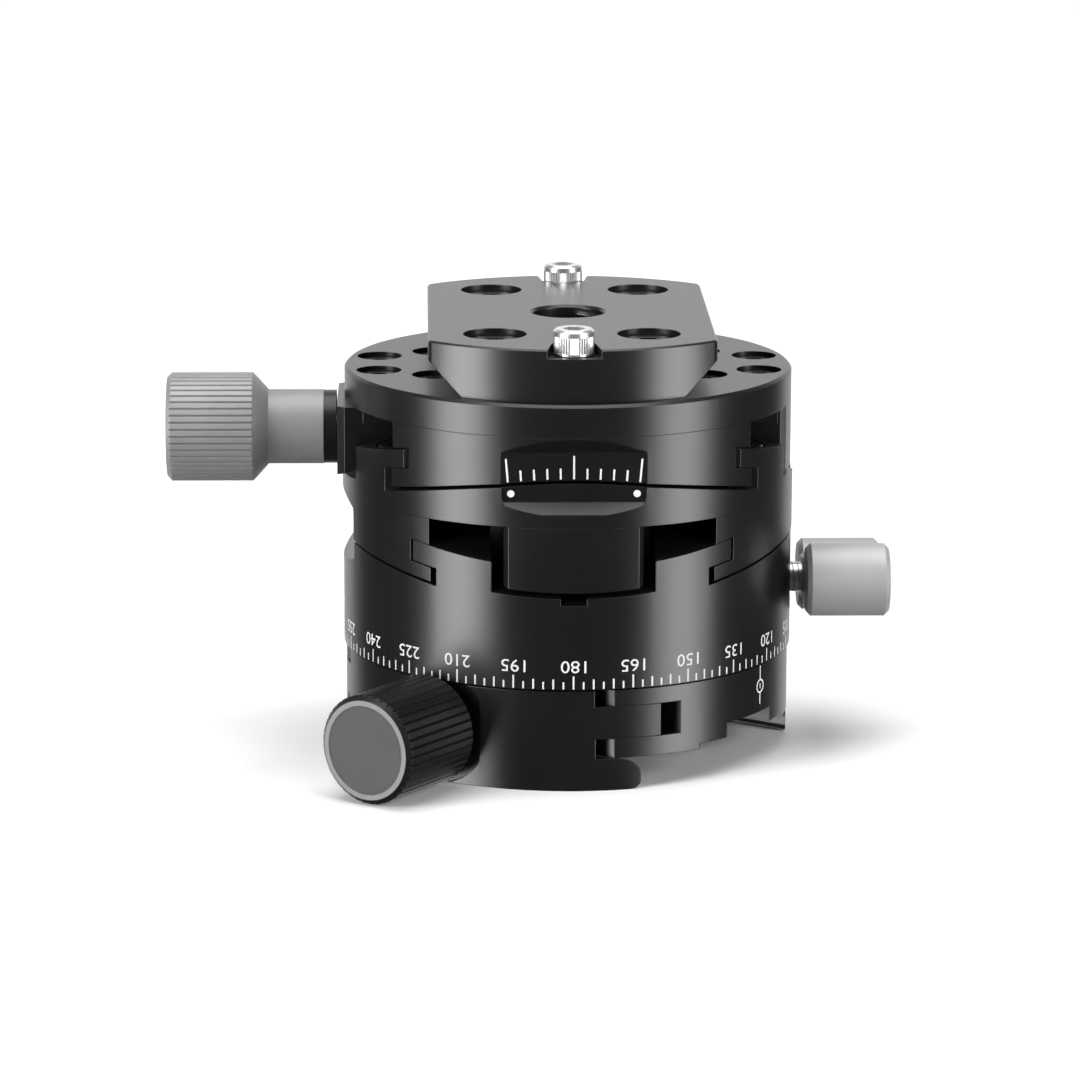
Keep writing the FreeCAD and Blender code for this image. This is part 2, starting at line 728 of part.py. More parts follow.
def worm_block(stage, knob_side, flange):
    """Bearing block of a worm shaft, in the channel under the moving half."""
    side = -1 if knob_side else 1
    outer = stage.block_end if knob_side else stage.radius
    x0, x1 = sorted((side * block_inner_face, side * outer))
    low = stage.plane - block_depth
    body = block(x0, x1, -block_half_width, block_half_width, low, stage.plane)
    tall = stage.head_top + block_depth
    body = body.common(ring_band(stage, -block_half_width, block_half_width, stage.block_low, tall))
    if knob_side:
        upright = [edge for edge in body.Edges
                   if abs(edge.BoundBox.XMax + stage.block_end) < RUNNING_FIT
                   and edge.BoundBox.ZLength > block_corner and edge.BoundBox.YLength < RUNNING_FIT]
        body = body.makeChamfer(block_corner, upright)
    start = V(side * block_inner_face, 0, stage.axis_height)
    end = V(side * bush_start, 0, stage.axis_height)
    pocket = rod(thrust_collar_radius + collar_pocket_gap, start, end)
    if not knob_side:
        body = body.common(cylinder(stage.radius, low, stage.plane))
        upright = [edge for edge in body.Edges
                   if edge.BoundBox.XMin > block_inner_face + block_corner
                   and edge.BoundBox.ZLength > block_corner
                   and edge.BoundBox.XLength < RUNNING_FIT and edge.BoundBox.YLength < RUNNING_FIT]
        body = body.makeChamfer(block_rim_edge, upright)
    spots, length, seat = block_screw_spots(side), lower_screw_length, lower_screw_seat
    if flange:
        far = math.sqrt(stage.radius ** 2 - ear_half_width ** 2) - ear_setback
        x0, x1 = sorted((side * ear_start, side * far))
        low = stage.plane - ear_thickness
        ear = block(x0, x1, -ear_half_width, ear_half_width, low, stage.plane)
        body = fused([body, ear])
        spots, length, seat = spots + ear_screw_spots(side), block_screw_length, deck_screw_seat
    bush, bore = worm_bush(stage, knob_side)
    body = body.cut(bore).cut(pocket)
    for x, y in spots:
        body = body.cut(rod(small_screw_radius, V(x, y, seat - length), V(x, y, seat)))
    return stage.placed(body), stage.placed(bush)


def block_screw_spots(side):
    """Places of the two long screws in one bearing block, in the drawing position."""
    return [(side * block_screw_x, y) for y in (-block_screw_y, block_screw_y)]


def ear_screw_spots(side):
    """Places of the two short screws in the ears of an upper bearing block."""
    return [(side * ear_screw_x, y) for y in (-ear_screw_y, ear_screw_y)]


def worm_bush(stage, knob_side):
    """Bush of a bearing block, and the solid cylinder that is its bore in the block."""
    side = -1 if knob_side else 1
    outer = stage.block_end if knob_side else stage.radius - blind_wall
    z = stage.axis_height
    sleeve = rod(worm_bush_radius, V(side * bush_start, 0, z), V(side * outer, 0, z))
    bore = rod(journal_radius + RUNNING_FIT, V(-2 * stage.radius, 0, z), V(2 * stage.radius, 0, z))
    return sleeve.cut(bore), sleeve


def worm_shaft(stage):
    """Worm with its two thrust collars and the journal that carries the knob."""
    z = stage.axis_height
    tail = stage.radius - blind_wall - shaft_end_play
    core = rod(journal_radius, V(-stage.knob_start - tilt_shaft_grip, 0, z), V(tail, 0, z))
    for side in (-1, 1):
        inner = V(side * (worm_span - thrust_collar_length), 0, z)
        core = core.fuse(rod(thrust_collar_radius, inner, V(side * worm_span, 0, z)))
    slope = math.tan(math.radians(tooth_half_angle_deg))
    pitch_half = worm_pitch / 4 - tooth_backlash / 4
    buried = worm_root_radius - thread_bury
    buried_half = pitch_half + slope * (worm_pitch_radius - buried)
    tip_half = pitch_half - slope * (worm_tip_radius - worm_pitch_radius)
    section = [V(buried, 0, -buried_half), V(worm_tip_radius, 0, -tip_half)]
    section += [V(worm_tip_radius, 0, tip_half), V(buried, 0, buried_half)]
    profile = Part.makePolygon(section + [section[0]])
    helix = Part.makeHelix(worm_pitch, worm_length, worm_root_radius)
    thread = Part.Wire(helix.Edges).makePipeShell([profile], True, True)
    thread.rotate(V(0, 0, 0), Y_AXIS, 90)
    thread.translate(V(-worm_length / 2, 0, z))
    half_core = worm_length / 2 + worm_core_overrun
    worm_core = rod(worm_root_radius, V(-half_core, 0, z), V(half_core, 0, z))
    return stage.placed(fused([core, worm_core.fuse(thread)]))


def tilt_knob(stage):
    """Knob on a worm shaft with its stem, its black collar and its grub screw."""
    z = stage.axis_height
    knob_start = stage.knob_start
    stem_end = knob_start + stem_length
    grip_start = stem_end + cone_length
    grip = fluted_grip(tilt_knob_radius, tilt_knob_length, tilt_knob_flutes, tilt_knob_round,
                       V(-grip_start, 0, z), V(-1, 0, 0))
    outline = [(0, 0), (0, stem_radius), (stem_length, stem_radius)]
    outline += [(stem_length + cone_length, tilt_knob_radius - tilt_knob_round)]
    outline += [(stem_length + cone_length, 0)]
    stem = turned_profile(outline, V(-knob_start, 0, z), V(-grip_start, 0, z))
    knob = fused([grip, stem])
    knob = knob.cut(rod(journal_radius, V(-knob_start - tilt_shaft_grip, 0, z), V(0, 0, z)))
    x = -knob_start - grub_place
    outside = stem_radius - grub_sink
    knob = knob.cut(rod(grub_radius, V(x, 0, z), V(x, stem_radius + OVERCUT, z)))
    shaft = rod(journal_radius, V(-knob_start - tilt_shaft_grip, 0, z), V(0, 0, z))
    grub = rod(grub_radius, V(x, 0, z), V(x, outside, z)).cut(shaft)
    socket = rod(grub_radius * socket_share, V(x, outside - socket_depth, z), V(x, outside + 1, z))
    collar = rod(collar_radius, V(-knob_start, 0, z), V(-knob_start + collar_thickness, 0, z))
    return stage.placed(knob), stage.placed(collar.cut(shaft)), stage.placed(grub.cut(socket))


def dial_body():
    """Turning base: graduated skirt, cavity for the spindle flange and the lower tee rail."""
    body = tee_rail(lower, dial_bottom).common(cylinder(dial_radius, dial_bottom, lower.plane))
    body = body.cut(cylinder(retainer_radius, dial_bottom - 1, retainer_top))
    body = body.cut(cylinder(flange_radius + cavity_clearance, retainer_top - 1, cavity_top))
    bore_radius = lock_screw_radius + RUNNING_FIT
    body = body.cut(rod(bore_radius, V(spindle_radius, 0, lock_height), V(dial_radius + 1, 0, lock_height)))
    for place in retainer_screw_spots():
        low = V(place.x, place.y, retainer_low)
        high = V(place.x, place.y, retainer_low + retainer_screw_length)
        body = body.cut(rod(tiny_screw_radius, low, high))
    for screw, hole in rack_screw_pairs(lower):
        body = body.cut(lower.placed(hole))
    return body.cut(window_cutter(lower))


def mid_stage():
    """Middle stage: it carries the cheeks and bearing blocks below and the upper tee rail above."""
    body = tee_rail(upper, lower.plane).common(cylinder(middle_radius, lower.plane, upper.plane))
    for screw, hole in rack_screw_pairs(upper):
        body = body.cut(upper.placed(hole))
    for x, y in cheek_screw_spots():
        body = body.cut(small_screw_hole(x, y, cheek_screw_seat, lower.plane))
    for x, y in lower_screw_spots():
        body = body.cut(small_screw_hole(x, y, lower_screw_seat, lower.plane))
    return body.cut(window_cutter(upper))


def small_screw_hole(x, y, seat, low):
    """Counterbored through hole of a small cap screw, its shank hole down to a height."""
    shank = rod(small_screw_radius, V(x, y, low - 1), V(x, y, seat + 1))
    return shank.fuse(rod(small_bore_radius, V(x, y, seat), V(x, y, plate_top)))


def small_screw(x, y, seat, length):
    """Small cap screw with its head on a seat."""
    top = seat + small_head_height
    return cap_screw(x, y, top, small_head_radius, small_head_height, small_screw_radius, length)


def cheek_screw_spots():
    """Places of the four screws that hold the cheeks."""
    return [(x, y) for x in (-cheek_screw_x, cheek_screw_x) for y in (-cheek_screw_y, cheek_screw_y)]


def lower_screw_spots():
    """Places of the four screws that hold the lower bearing blocks."""
    return [(x, y) for x in (-block_screw_y, block_screw_y) for y in (-block_screw_x, block_screw_x)]


def rail_screw_spots():
    """Places of the four screws that hold the upper rails to the disc."""
    return [(x, y) for x in (-rail_screw_x, rail_screw_x) for y in (-rail_screw_y, rail_screw_y)]


def plate_screw_spots():
    """Places of the four screws that hold the dovetail plate."""
    return [(x, y) for x in (-plate_screw_x, plate_screw_x) for y in (-plate_screw_y, plate_screw_y)]


def top_disc():
    """Round deck over the upper stage, with the counterbores of the block screws."""
    body = cylinder(top_radius, disc_bottom, disc_top)
    rim = [edge for edge in body.Edges if edge.BoundBox.ZMin > disc_top - RUNNING_FIT]
    body = body.makeChamfer(disc_bevel, rim)
    for side in (-1, 1):
        for x, y in block_screw_spots(side) + ear_screw_spots(side):
            body = body.cut(small_screw_hole(x, y, deck_screw_seat, disc_bottom))
    for x, y in rail_screw_spots():
        body = body.cut(countersink(x, y, disc_top, *rail_screw_sizes))
    for x, y in plate_screw_spots():
        low = V(x, y, disc_top - plate_thread_in_disc)
        body = body.cut(rod(plate_shank_radius, low, V(x, y, plate_top)))
    return body


def dovetail_plate():
    """Plate with dovetail flanks for a quick-release clamp and the camera thread in its middle."""
    base_half = plate_half_width - (plate_thickness - plate_edge_height)
    end = plate_end_radius + OVERCUT
    body = block(-plate_half_width, plate_half_width, -end, end, disc_top, plate_top)
    body = body.common(cylinder(plate_end_radius, disc_top, plate_top))
    corners = [edge for edge in body.Edges
               if abs(abs(edge.BoundBox.XMax) - plate_half_width) < RUNNING_FIT
               and edge.BoundBox.YLength < RUNNING_FIT and edge.BoundBox.XLength < RUNNING_FIT]
    body = body.makeFillet(plate_corner_round, corners)
    outline = [V(-base_half, -end, disc_top), V(base_half, -end, disc_top)]
    edge_low = plate_top - plate_edge_height
    outline += [V(plate_half_width, -end, edge_low), V(plate_half_width, -end, plate_top)]
    outline += [V(-plate_half_width, -end, plate_top), V(-plate_half_width, -end, edge_low)]
    body = body.common(polygon_face(outline).extrude(V(0, 2 * end, 0)))
    rim = [edge for edge in body.Edges if edge.BoundBox.ZMin > plate_top - RUNNING_FIT]
    body = body.makeChamfer(plate_edge_bevel, rim)
    body = body.cut(cylinder(camera_thread_radius, disc_top - 1, plate_top + 1))
    mouth_low = V(0, 0, plate_top - camera_thread_mouth)
    mouth_radius = camera_thread_radius + camera_thread_mouth
    mouth = Part.makeCone(camera_thread_radius, mouth_radius, camera_thread_mouth, mouth_low, Z_AXIS)
    body = body.cut(mouth)
    seat = plate_top - plate_head_sink - plate_head_height
    for x, y in plate_screw_spots():
        body = body.cut(rod(plate_counterbore_radius, V(x, y, seat), V(x, y, plate_top + 1)))
        body = body.cut(rod(plate_shank_radius, V(x, y, disc_top - 1), V(x, y, seat + 1)))
    floor = plate_top - stop_notch_floor
    for side in (-1, 1):
        place = V(0, side * stop_screw_y, floor)
        notch = Part.makeCylinder(stop_notch_half_width, plate_top + 1 - floor, place, Z_AXIS)
        wide = stop_notch_half_width + stop_notch_flare
        mouth = [V(-stop_notch_half_width, side * stop_screw_y, floor)]
        mouth += [V(stop_notch_half_width, side * stop_screw_y, floor)]
        mouth += [V(wide, side * end, floor), V(-wide, side * end, floor)]
        body = body.cut(notch).cut(polygon_face(mouth).extrude(V(0, 0, plate_top + 1 - floor)))
        shank_low = V(0, side * stop_screw_y, floor - stop_shank_length)
        body = body.cut(rod(stop_shank_radius, shank_low, V(0, side * stop_screw_y, plate_top)))
    return body


def screw_sets():
    """Visible and hidden screws of the two stages, one node for each kind."""
    ear_screw_length = deck_screw_seat - upper.plane + ear_thickness
    bearing = []
    for side in (-1, 1):
        for x, y in block_screw_spots(side):
            bearing.append(small_screw(x, y, deck_screw_seat, block_screw_length))
        for x, y in ear_screw_spots(side):
            bearing.append(small_screw(x, y, deck_screw_seat, ear_screw_length))
    rails = [countersunk_screw(x, y, disc_top, *rail_screw_sizes) for x, y in rail_screw_spots()]
    cheeks = [small_screw(x, y, cheek_screw_seat, cheek_screw_length) for x, y in cheek_screw_spots()]
    blocks = [small_screw(x, y, lower_screw_seat, lower_screw_length) for x, y in lower_screw_spots()]
    plate = []
    for x, y in plate_screw_spots():
        top = plate_top - plate_head_sink
        length = plate_thickness - plate_head_sink - plate_head_height + plate_thread_in_disc
        plate.append(cap_screw(x, y, top, plate_head_radius, plate_head_height, plate_shank_radius, length))
    stops = []
    for side in (-1, 1):
        top = plate_top - stop_notch_floor + stop_head_height
        stops.append(cap_screw(0, side * stop_screw_y, top, stop_head_radius, stop_head_height,
                               stop_shank_radius, stop_shank_length))
    return {"bearing_screws": group(bearing), "rail_screws": group(rails), "cheek_screws": group(cheeks),
            "lower_bearing_screws": group(blocks), "plate_screws": group(plate), "stop_screws": group(stops)}


def pan_lock():
    """Pad, screw and wing knob that hold the pan movement."""
    z = lock_height
    pad_start = flange_radius + RUNNING_FIT
    pad = rod(lock_pad_radius, V(pad_start, 0, z), V(pad_start + lock_pad_length, 0, z))
    screw_start = pad_start + lock_pad_length + RUNNING_FIT
    screw = rod(lock_screw_radius, V(screw_start, 0, z), V(lock_knob_start + lock_grip, 0, z))
    lobes = []
    for side in (-1, 1):
        centre = V(lock_knob_start, side * lock_lobe_offset, z)
        lobes.append(Part.makeCylinder(lock_lobe_radius, lock_knob_length, centre, X_AXIS))
    web = block(lock_knob_start, lock_knob_start + lock_knob_length, -lock_lobe_offset, lock_lobe_offset,
                z - lock_web_thickness / 2, z + lock_web_thickness / 2)
    knob = fused(lobes + [web])
    ends = [edge for edge in knob.Edges if edge.BoundBox.XLength < RUNNING_FIT]
    knob = knob.makeChamfer(lock_edge, ends)
    knob.rotate(V(0, 0, z), X_AXIS, -lock_tilt_deg)
    return {"lock_pad": pad, "lock_screw": screw, "lock_knob": knob.cut(screw)}


def lower_stage_nodes():
    """Cheeks, bearing blocks, worm drive and rack of the lower slide."""
    right, left = rail_pair(lower, lower.ledge)
    left = left.cut(window_cutter(lower))
    for x, y in cheek_screw_spots():
        screw_end = V(x, y, cheek_screw_seat - cheek_screw_length)
        hole = rod(small_screw_radius, screw_end, V(x, y, lower.plane + 1))
        right = right.cut(hole)
        left = left.cut(hole)
    front_block, front_bush = worm_block(lower, False, False)
    rear_block, rear_bush = worm_block(lower, True, False)
    knob, collar, grub = tilt_knob(lower)
    arc, arc_screws = rack(lower)
    return {"left_cheek": left, "right_cheek": right, "lower_front_bearing": front_block,
            "lower_rear_bearing": rear_block, "lower_worm_bushes": group([front_bush, rear_bush]),
            "lower_rack": arc, "lower_rack_screws": arc_screws, "lower_worm_shaft": worm_shaft(lower),
            "lower_tilt_knob": knob, "lower_knob_collar": collar, "lower_knob_grub": grub}


def upper_stage_nodes():
    """Rails, bearing blocks, worm drive and rack of the upper slide."""
    rear, front = rail_pair(upper, upper.ledge)
    front = front.cut(window_cutter(upper))
    for x, y in rail_screw_spots():
        hole = countersink(x, y, disc_top, *rail_screw_sizes)
        rear = rear.cut(hole)
        front = front.cut(hole)
    left_block, left_bush = worm_block(upper, True, True)
    right_block, right_bush = worm_block(upper, False, True)
    knob, collar, grub = tilt_knob(upper)
    arc, arc_screws = rack(upper)
    return {"front_rail": front, "rear_rail": rear, "left_bearing": left_block, "right_bearing": right_block,
            "upper_worm_bushes": group([left_bush, right_bush]), "upper_rack": arc,
            "upper_rack_screws": arc_screws, "upper_worm_shaft": worm_shaft(upper),
            "upper_tilt_knob": knob, "upper_knob_collar": collar, "upper_knob_grub": grub}


def save(name, shape):
    """Writes one node and prints a line about its solids."""
    state = "valid" if shape.isValid() else "NOT VALID"
    shape.exportStep("parts/" + name + ".step")
    print(name, len(shape.Solids), "solids", state, round(shape.Volume, 2))


def main():
    """Builds every node and writes its file."""
    os.makedirs("parts", exist_ok=True)
    nodes = {"clamp_base": clamp_base(), "clamp_jaw": clamp_jaw(), "guide_pins": guide_pins()}
    nodes.update(clamp_fastening())
    nodes.update(pan_joint())
    nodes.update(pan_lock())
    nodes["dial_body"] = dial_body()
    nodes["mid_stage"] = mid_stage()
    nodes.update(lower_stage_nodes())
    nodes.update(upper_stage_nodes())
    nodes["top_disc"] = top_disc()
    nodes["dovetail_plate"] = dovetail_plate()
    nodes.update(screw_sets())
    for name, shape in nodes.items():
        save(name, shape)


main()
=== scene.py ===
import json
import logging
import math
from dataclasses import dataclass, field
from enum import Enum

import bmesh
import bpy
from mathutils import Matrix, Vector


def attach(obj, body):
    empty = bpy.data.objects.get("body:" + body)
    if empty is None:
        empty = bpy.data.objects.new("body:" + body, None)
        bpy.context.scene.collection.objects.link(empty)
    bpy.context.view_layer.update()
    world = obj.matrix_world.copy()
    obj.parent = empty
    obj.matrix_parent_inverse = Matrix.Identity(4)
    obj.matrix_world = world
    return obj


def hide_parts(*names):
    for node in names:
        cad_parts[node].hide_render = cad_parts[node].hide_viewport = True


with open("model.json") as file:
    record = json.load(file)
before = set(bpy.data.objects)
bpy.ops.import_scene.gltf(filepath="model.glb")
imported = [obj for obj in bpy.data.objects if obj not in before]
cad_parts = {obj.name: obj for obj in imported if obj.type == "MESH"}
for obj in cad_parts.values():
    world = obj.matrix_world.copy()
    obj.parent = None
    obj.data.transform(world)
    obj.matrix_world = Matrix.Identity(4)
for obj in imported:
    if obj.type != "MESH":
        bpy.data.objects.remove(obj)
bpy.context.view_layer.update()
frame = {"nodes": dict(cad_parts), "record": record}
LOG = logging.getLogger("panoramic_head")
MM = 0.001

# A noise pattern's values lie mostly between these two
PATTERN_LOW = 0.3
PATTERN_HIGH = 0.7

# Painted marks are thin plates that stand a little proud of the metal
MARK_DEPTH = 0.03 * MM
MARK_PROUD = 0.012 * MM

# Vertices nearer than this are one vertex
MERGE_DISTANCE = 1e-8

# Nodes whose finish isn't that of their slot in the record
SPECIAL_FINISH = {"lock_knob": "wing_grey"}


class Axis(Enum):
    """Directions of the frame that pieces are built along."""

    X = (1.0, 0.0, 0.0)
    Z = (0.0, 0.0, 1.0)

    @property
    def vector(self) -> Vector:
        """The direction as a vector."""
        return Vector(self.value)


class NodeSheet:
    """A material's node tree, built one node at a time."""

    def __init__(self, name: str) -> None:
        """Starts an empty node tree.

        Args:
            name: name of the new material.
        """
        self.material = bpy.data.materials.new(name)
        self.material.use_nodes = True
        self.tree = self.material.node_tree
        self.tree.nodes.clear()

    def add(self, kind: str, settings: dict | None = None, sockets: dict | None = None) -> bpy.types.Node:
        """Adds a node and fills it in.

        Args:
            kind: Blender's name of the node type.
            settings: properties of the node.
            sockets: values of its input sockets, or output sockets to link to them.

        Returns:
            The new node.
        """
        node = self.tree.nodes.new(kind)
        for key, value in (settings or {}).items():
            setattr(node, key, value)
        for key, value in (sockets or {}).items():
            if isinstance(value, bpy.types.NodeSocket):
                self.tree.links.new(value, node.inputs[key])
            else:
                node.inputs[key].default_value = value
        return node

    def object_coordinates(self) -> bpy.types.NodeSocket:
        """The socket with a point's place on the object."""
        return self.add("ShaderNodeTexCoord").outputs["Object"]

    def noise(self, scale: float, detail: float, coordinates: bpy.types.NodeSocket) -> bpy.types.NodeSocket:
        """Adds a noise pattern.

        Args:
            scale: cells to the metre.
            detail: octaves of finer noise.
            coordinates: socket with the place to read.

        Returns:
            The socket with the pattern's value.
        """
        sockets = {"Vector": coordinates, "Scale": scale, "Detail": detail}
        return self.add("ShaderNodeTexNoise", None, sockets).outputs["Fac"]

    def spread(self, value: bpy.types.NodeSocket, low: float, high: float) -> bpy.types.NodeSocket:
        """Maps a pattern from its middle range to a range of values.

        Args:
            value: socket with the pattern.
            low: value at the pattern's dark end.
            high: value at its light end.

        Returns:
            The socket with the mapped value.
        """
        sockets = {"Value": value, "From Min": PATTERN_LOW, "From Max": PATTERN_HIGH, "To Min": low,
                   "To Max": high}
        return self.add("ShaderNodeMapRange", None, sockets).outputs["Result"]

    def tint(self, value: bpy.types.NodeSocket, dark: tuple, light: tuple) -> bpy.types.NodeSocket:
        """Mixes two colours by a pattern.

        Args:
            value: socket with the pattern.
            dark: colour at the low end.
            light: colour at the high end.

        Returns:
            The socket with the mixed colour.
        """
        ramp = self.add("ShaderNodeValToRGB", None, {"Fac": value})
        ends = ((PATTERN_LOW, dark), (PATTERN_HIGH, light))
        for element, (position, colour) in zip(ramp.color_ramp.elements, ends):
            element.position = position
            element.color = (*colour, 1.0)
        return ramp.outputs["Color"]

    def finish(self, shader: bpy.types.NodeSocket) -> bpy.types.Material:
        """Links the surface to the output and returns the material."""
        self.add("ShaderNodeOutputMaterial", None, {"Surface": shader})
        return self.material


@dataclass(frozen=True)
class Finish:
    """A metal or moulded finish with its grain, its small colour changes and its softened edges."""

    name: str
    dark: tuple
    light: tuple
    metallic: float
    specular: float
    rough_low: float
    rough_high: float
    grain_scale: float
    grain_height: float
    edge_radius: float = 0.0
    edge_samples: int = 6
    cloud_scale: float = 130.0
    cloud_detail: float = 3.0
    speck_share: float = 0.5
    speck_detail: float = 1.0
    grain_detail: float = 2.0
    grain_strength: float = 0.35

    def surface_normal(self, sheet: NodeSheet, place: bpy.types.NodeSocket) -> bpy.types.NodeSocket:
        """The normal with softened edges and the grain on it.

        Args:
            sheet: node tree to add to.
            place: socket with the point's place.

        Returns:
            The socket with the normal.
        """
        grain = sheet.noise(self.grain_scale, self.grain_detail, place)
        sockets = {"Height": grain, "Strength": self.grain_strength, "Distance": self.grain_height}
        if self.edge_radius > 0:
            edge = sheet.add("ShaderNodeBevel", {"samples": self.edge_samples}, {"Radius": self.edge_radius})
            sockets["Normal"] = edge.outputs["Normal"]
        return sheet.add("ShaderNodeBump", None, sockets).outputs["Normal"]

    def build(self) -> bpy.types.Material:
        """Makes the material.

        Returns:
            The material, with its colour, roughness and bump from noise patterns.
        """
        sheet = NodeSheet(self.name)
        place = sheet.object_coordinates()
        cloud = sheet.noise(self.cloud_scale, self.cloud_detail, place)
        speck = sheet.noise(self.grain_scale * self.speck_share, self.speck_detail, place)
        shader = sheet.add("ShaderNodeBsdfPrincipled", None, {
            "Base Color": sheet.tint(cloud, self.dark, self.light),
            "Metallic": self.metallic,
            "Specular IOR Level": self.specular,
            "Roughness": sheet.spread(speck, self.rough_low, self.rough_high),
            "Normal": self.surface_normal(sheet, place),
        })
        return sheet.finish(shader.outputs["BSDF"])


@dataclass(frozen=True)
class Palette:
    """Every finish of the head, by the record's material slot."""

    body: Finish = Finish("satin_black_anodising", (0.0032, 0.0032, 0.0034), (0.0046, 0.0046, 0.0049),
                          0.0, 0.5, 0.30, 0.36, 16000.0, 0.000004, 0.00014)
    plate: Finish = Finish("charcoal_anodising", (0.0042, 0.0042, 0.0045), (0.0058, 0.0058, 0.0061),
                           0.0, 0.55, 0.29, 0.34, 16000.0, 0.000005, 0.00018)
    black_knob: Finish = Finish("black_knob_anodising", (0.0032, 0.0032, 0.0034), (0.0046, 0.0046, 0.0049),
                                0.0, 0.45, 0.34, 0.40, 16000.0, 0.000004, 0.00008)
    grey_knob: Finish = Finish("blasted_grey_anodising", (0.27, 0.268, 0.264), (0.31, 0.308, 0.303),
                               0.6, 0.5, 0.54, 0.62, 14000.0, 0.000005, 0.00010)
    wing: Finish = Finish("bright_grey_anodising", (0.38, 0.38, 0.376), (0.43, 0.43, 0.425),
                          0.6, 0.5, 0.54, 0.62, 14000.0, 0.000005, 0.00010)
    cap: Finish = Finish("satin_grey_cap", (0.052, 0.052, 0.053), (0.062, 0.062, 0.063),
                         0.0, 0.3, 0.46, 0.52, 14000.0, 0.000004, 0.00008)
    rim: Finish = Finish("turned_grey_rim", (0.15, 0.15, 0.152), (0.19, 0.19, 0.192),
                         0.0, 0.5, 0.38, 0.46, 14000.0, 0.000004, 0.0)
    steel: Finish = Finish("turned_steel", (0.42, 0.42, 0.43), (0.52, 0.52, 0.53),
                           1.0, 0.5, 0.24, 0.34, 9000.0, 0.000003, 0.00005)
    dark_screw: Finish = Finish("dark_oxide_steel", (0.050, 0.050, 0.052), (0.080, 0.080, 0.082),
                                0.9, 0.5, 0.22, 0.32, 9000.0, 0.000003, 0.00006)
    silver: Finish = Finish("bright_steel", (0.62, 0.62, 0.63), (0.72, 0.72, 0.73),
                            0.9, 0.5, 0.28, 0.38, 7000.0, 0.000003, 0.00005)
    brass: Finish = Finish("rack_brass_metal", (0.62, 0.44, 0.17), (0.74, 0.54, 0.23),
                           1.0, 0.5, 0.22, 0.32, 9000.0, 0.000003, 0.00004)
    bronze: Finish = Finish("bush_bronze_metal", (0.52, 0.33, 0.16), (0.62, 0.40, 0.20),
                            1.0, 0.5, 0.28, 0.38, 9000.0, 0.000003, 0.00004)
    polymer: Finish = Finish("slide_polymer", (0.60, 0.58, 0.52), (0.68, 0.66, 0.60),
                             0.0, 0.5, 0.42, 0.52, 5000.0, 0.000004, 0.00004)
    paint: Finish = Finish("engraving_paint", (0.52, 0.52, 0.52), (0.62, 0.62, 0.62),
                           0.0, 0.4, 0.48, 0.58, 12000.0, 0.000002, 0.0)

    def by_slot(self) -> dict[str, bpy.types.Material]:
        """Builds every finish.

        Returns:
            The materials by the record's slot names, and those of the wing, rim and marks by their own.
        """
        return {
            "black_anodised": self.body.build(),
            "plate_anodised": self.plate.build(),
            "knob_black": self.black_knob.build(),
            "knob_grey": self.grey_knob.build(),
            "wing_grey": self.wing.build(),
            "cap_grey": self.cap.build(),
            "rim_grey": self.rim.build(),
            "spindle_steel": self.steel.build(),
            "screw_black": self.dark_screw.build(),
            "screw_silver": self.silver.build(),
            "rack_brass": self.brass.build(),
            "bush_bronze": self.bronze.build(),
            "washer_polymer": self.polymer.build(),
            "paint": self.paint.build(),
        }


def keep_mesh(name: str, mesh: bmesh.types.BMesh, material: bpy.types.Material, body: str,
              smooth: bool = False) -> bpy.types.Object:
    """Turns a finished bmesh into a piece of the head.

    Args:
        name: name of the piece.
        mesh: its bmesh, in metres in the row frame, which is freed.
        material: its material.
        body: the CAD body that it rides on.
        smooth: whether its faces are shaded smooth.

    Returns:
        The new object.
    """
    for face in mesh.faces:
        face.smooth = smooth
    data = bpy.data.meshes.new(name)
    mesh.to_mesh(data)
    mesh.free()
    data.materials.append(material)
    piece = bpy.data.objects.new(name, data)
    bpy.context.scene.collection.objects.link(piece)
    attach(piece, body)
    LOG.info("%s: %d faces on %s", name, len(data.polygons), body)
    return piece


def lathe(mesh: bmesh.types.BMesh, outline: list[tuple[float, float]], start: Vector, axis: Vector,
          steps: int = 64) -> list[bmesh.types.BMVert]:
    """Spins a closed outline round an axis.

    Args:
        mesh: bmesh to add to.
        outline: (distance along the axis, radius) points of the closed outline, in metres.
        start: point of the axis where the distance is zero.
        axis: direction of the axis.
        steps: number of segments.

    Returns:
        The vertices that were added.
    """
    before = set(mesh.verts)
    side = axis.orthogonal().normalized()
    corners = [mesh.verts.new(start + axis * along + side * radius) for along, radius in outline]
    edges = [mesh.edges.new((corners[k], corners[(k + 1) % len(corners)])) for k in range(len(corners))]
    bmesh.ops.spin(mesh, geom=corners + edges, cent=start, axis=axis, angle=2 * math.pi, steps=steps,
                   use_merge=True, use_normal_flip=False, use_duplicate=False)
    added = [vert for vert in mesh.verts if vert not in before]
    bmesh.ops.remove_doubles(mesh, verts=added, dist=MERGE_DISTANCE)
    bmesh.ops.recalc_face_normals(mesh, faces=mesh.faces[:])
    return [vert for vert in mesh.verts if vert not in before]


def bar(mesh: bmesh.types.BMesh, size: Vector, place: Matrix) -> None:
    """Adds a small box.

    Args:
        mesh: bmesh to add to.
        size: its length along its own X, Y and Z.
        place: where its centre goes and how it is turned.
    """
    scale = Matrix.Diagonal((*size, 1.0))
    bmesh.ops.create_cube(mesh, size=1.0, matrix=place @ scale)


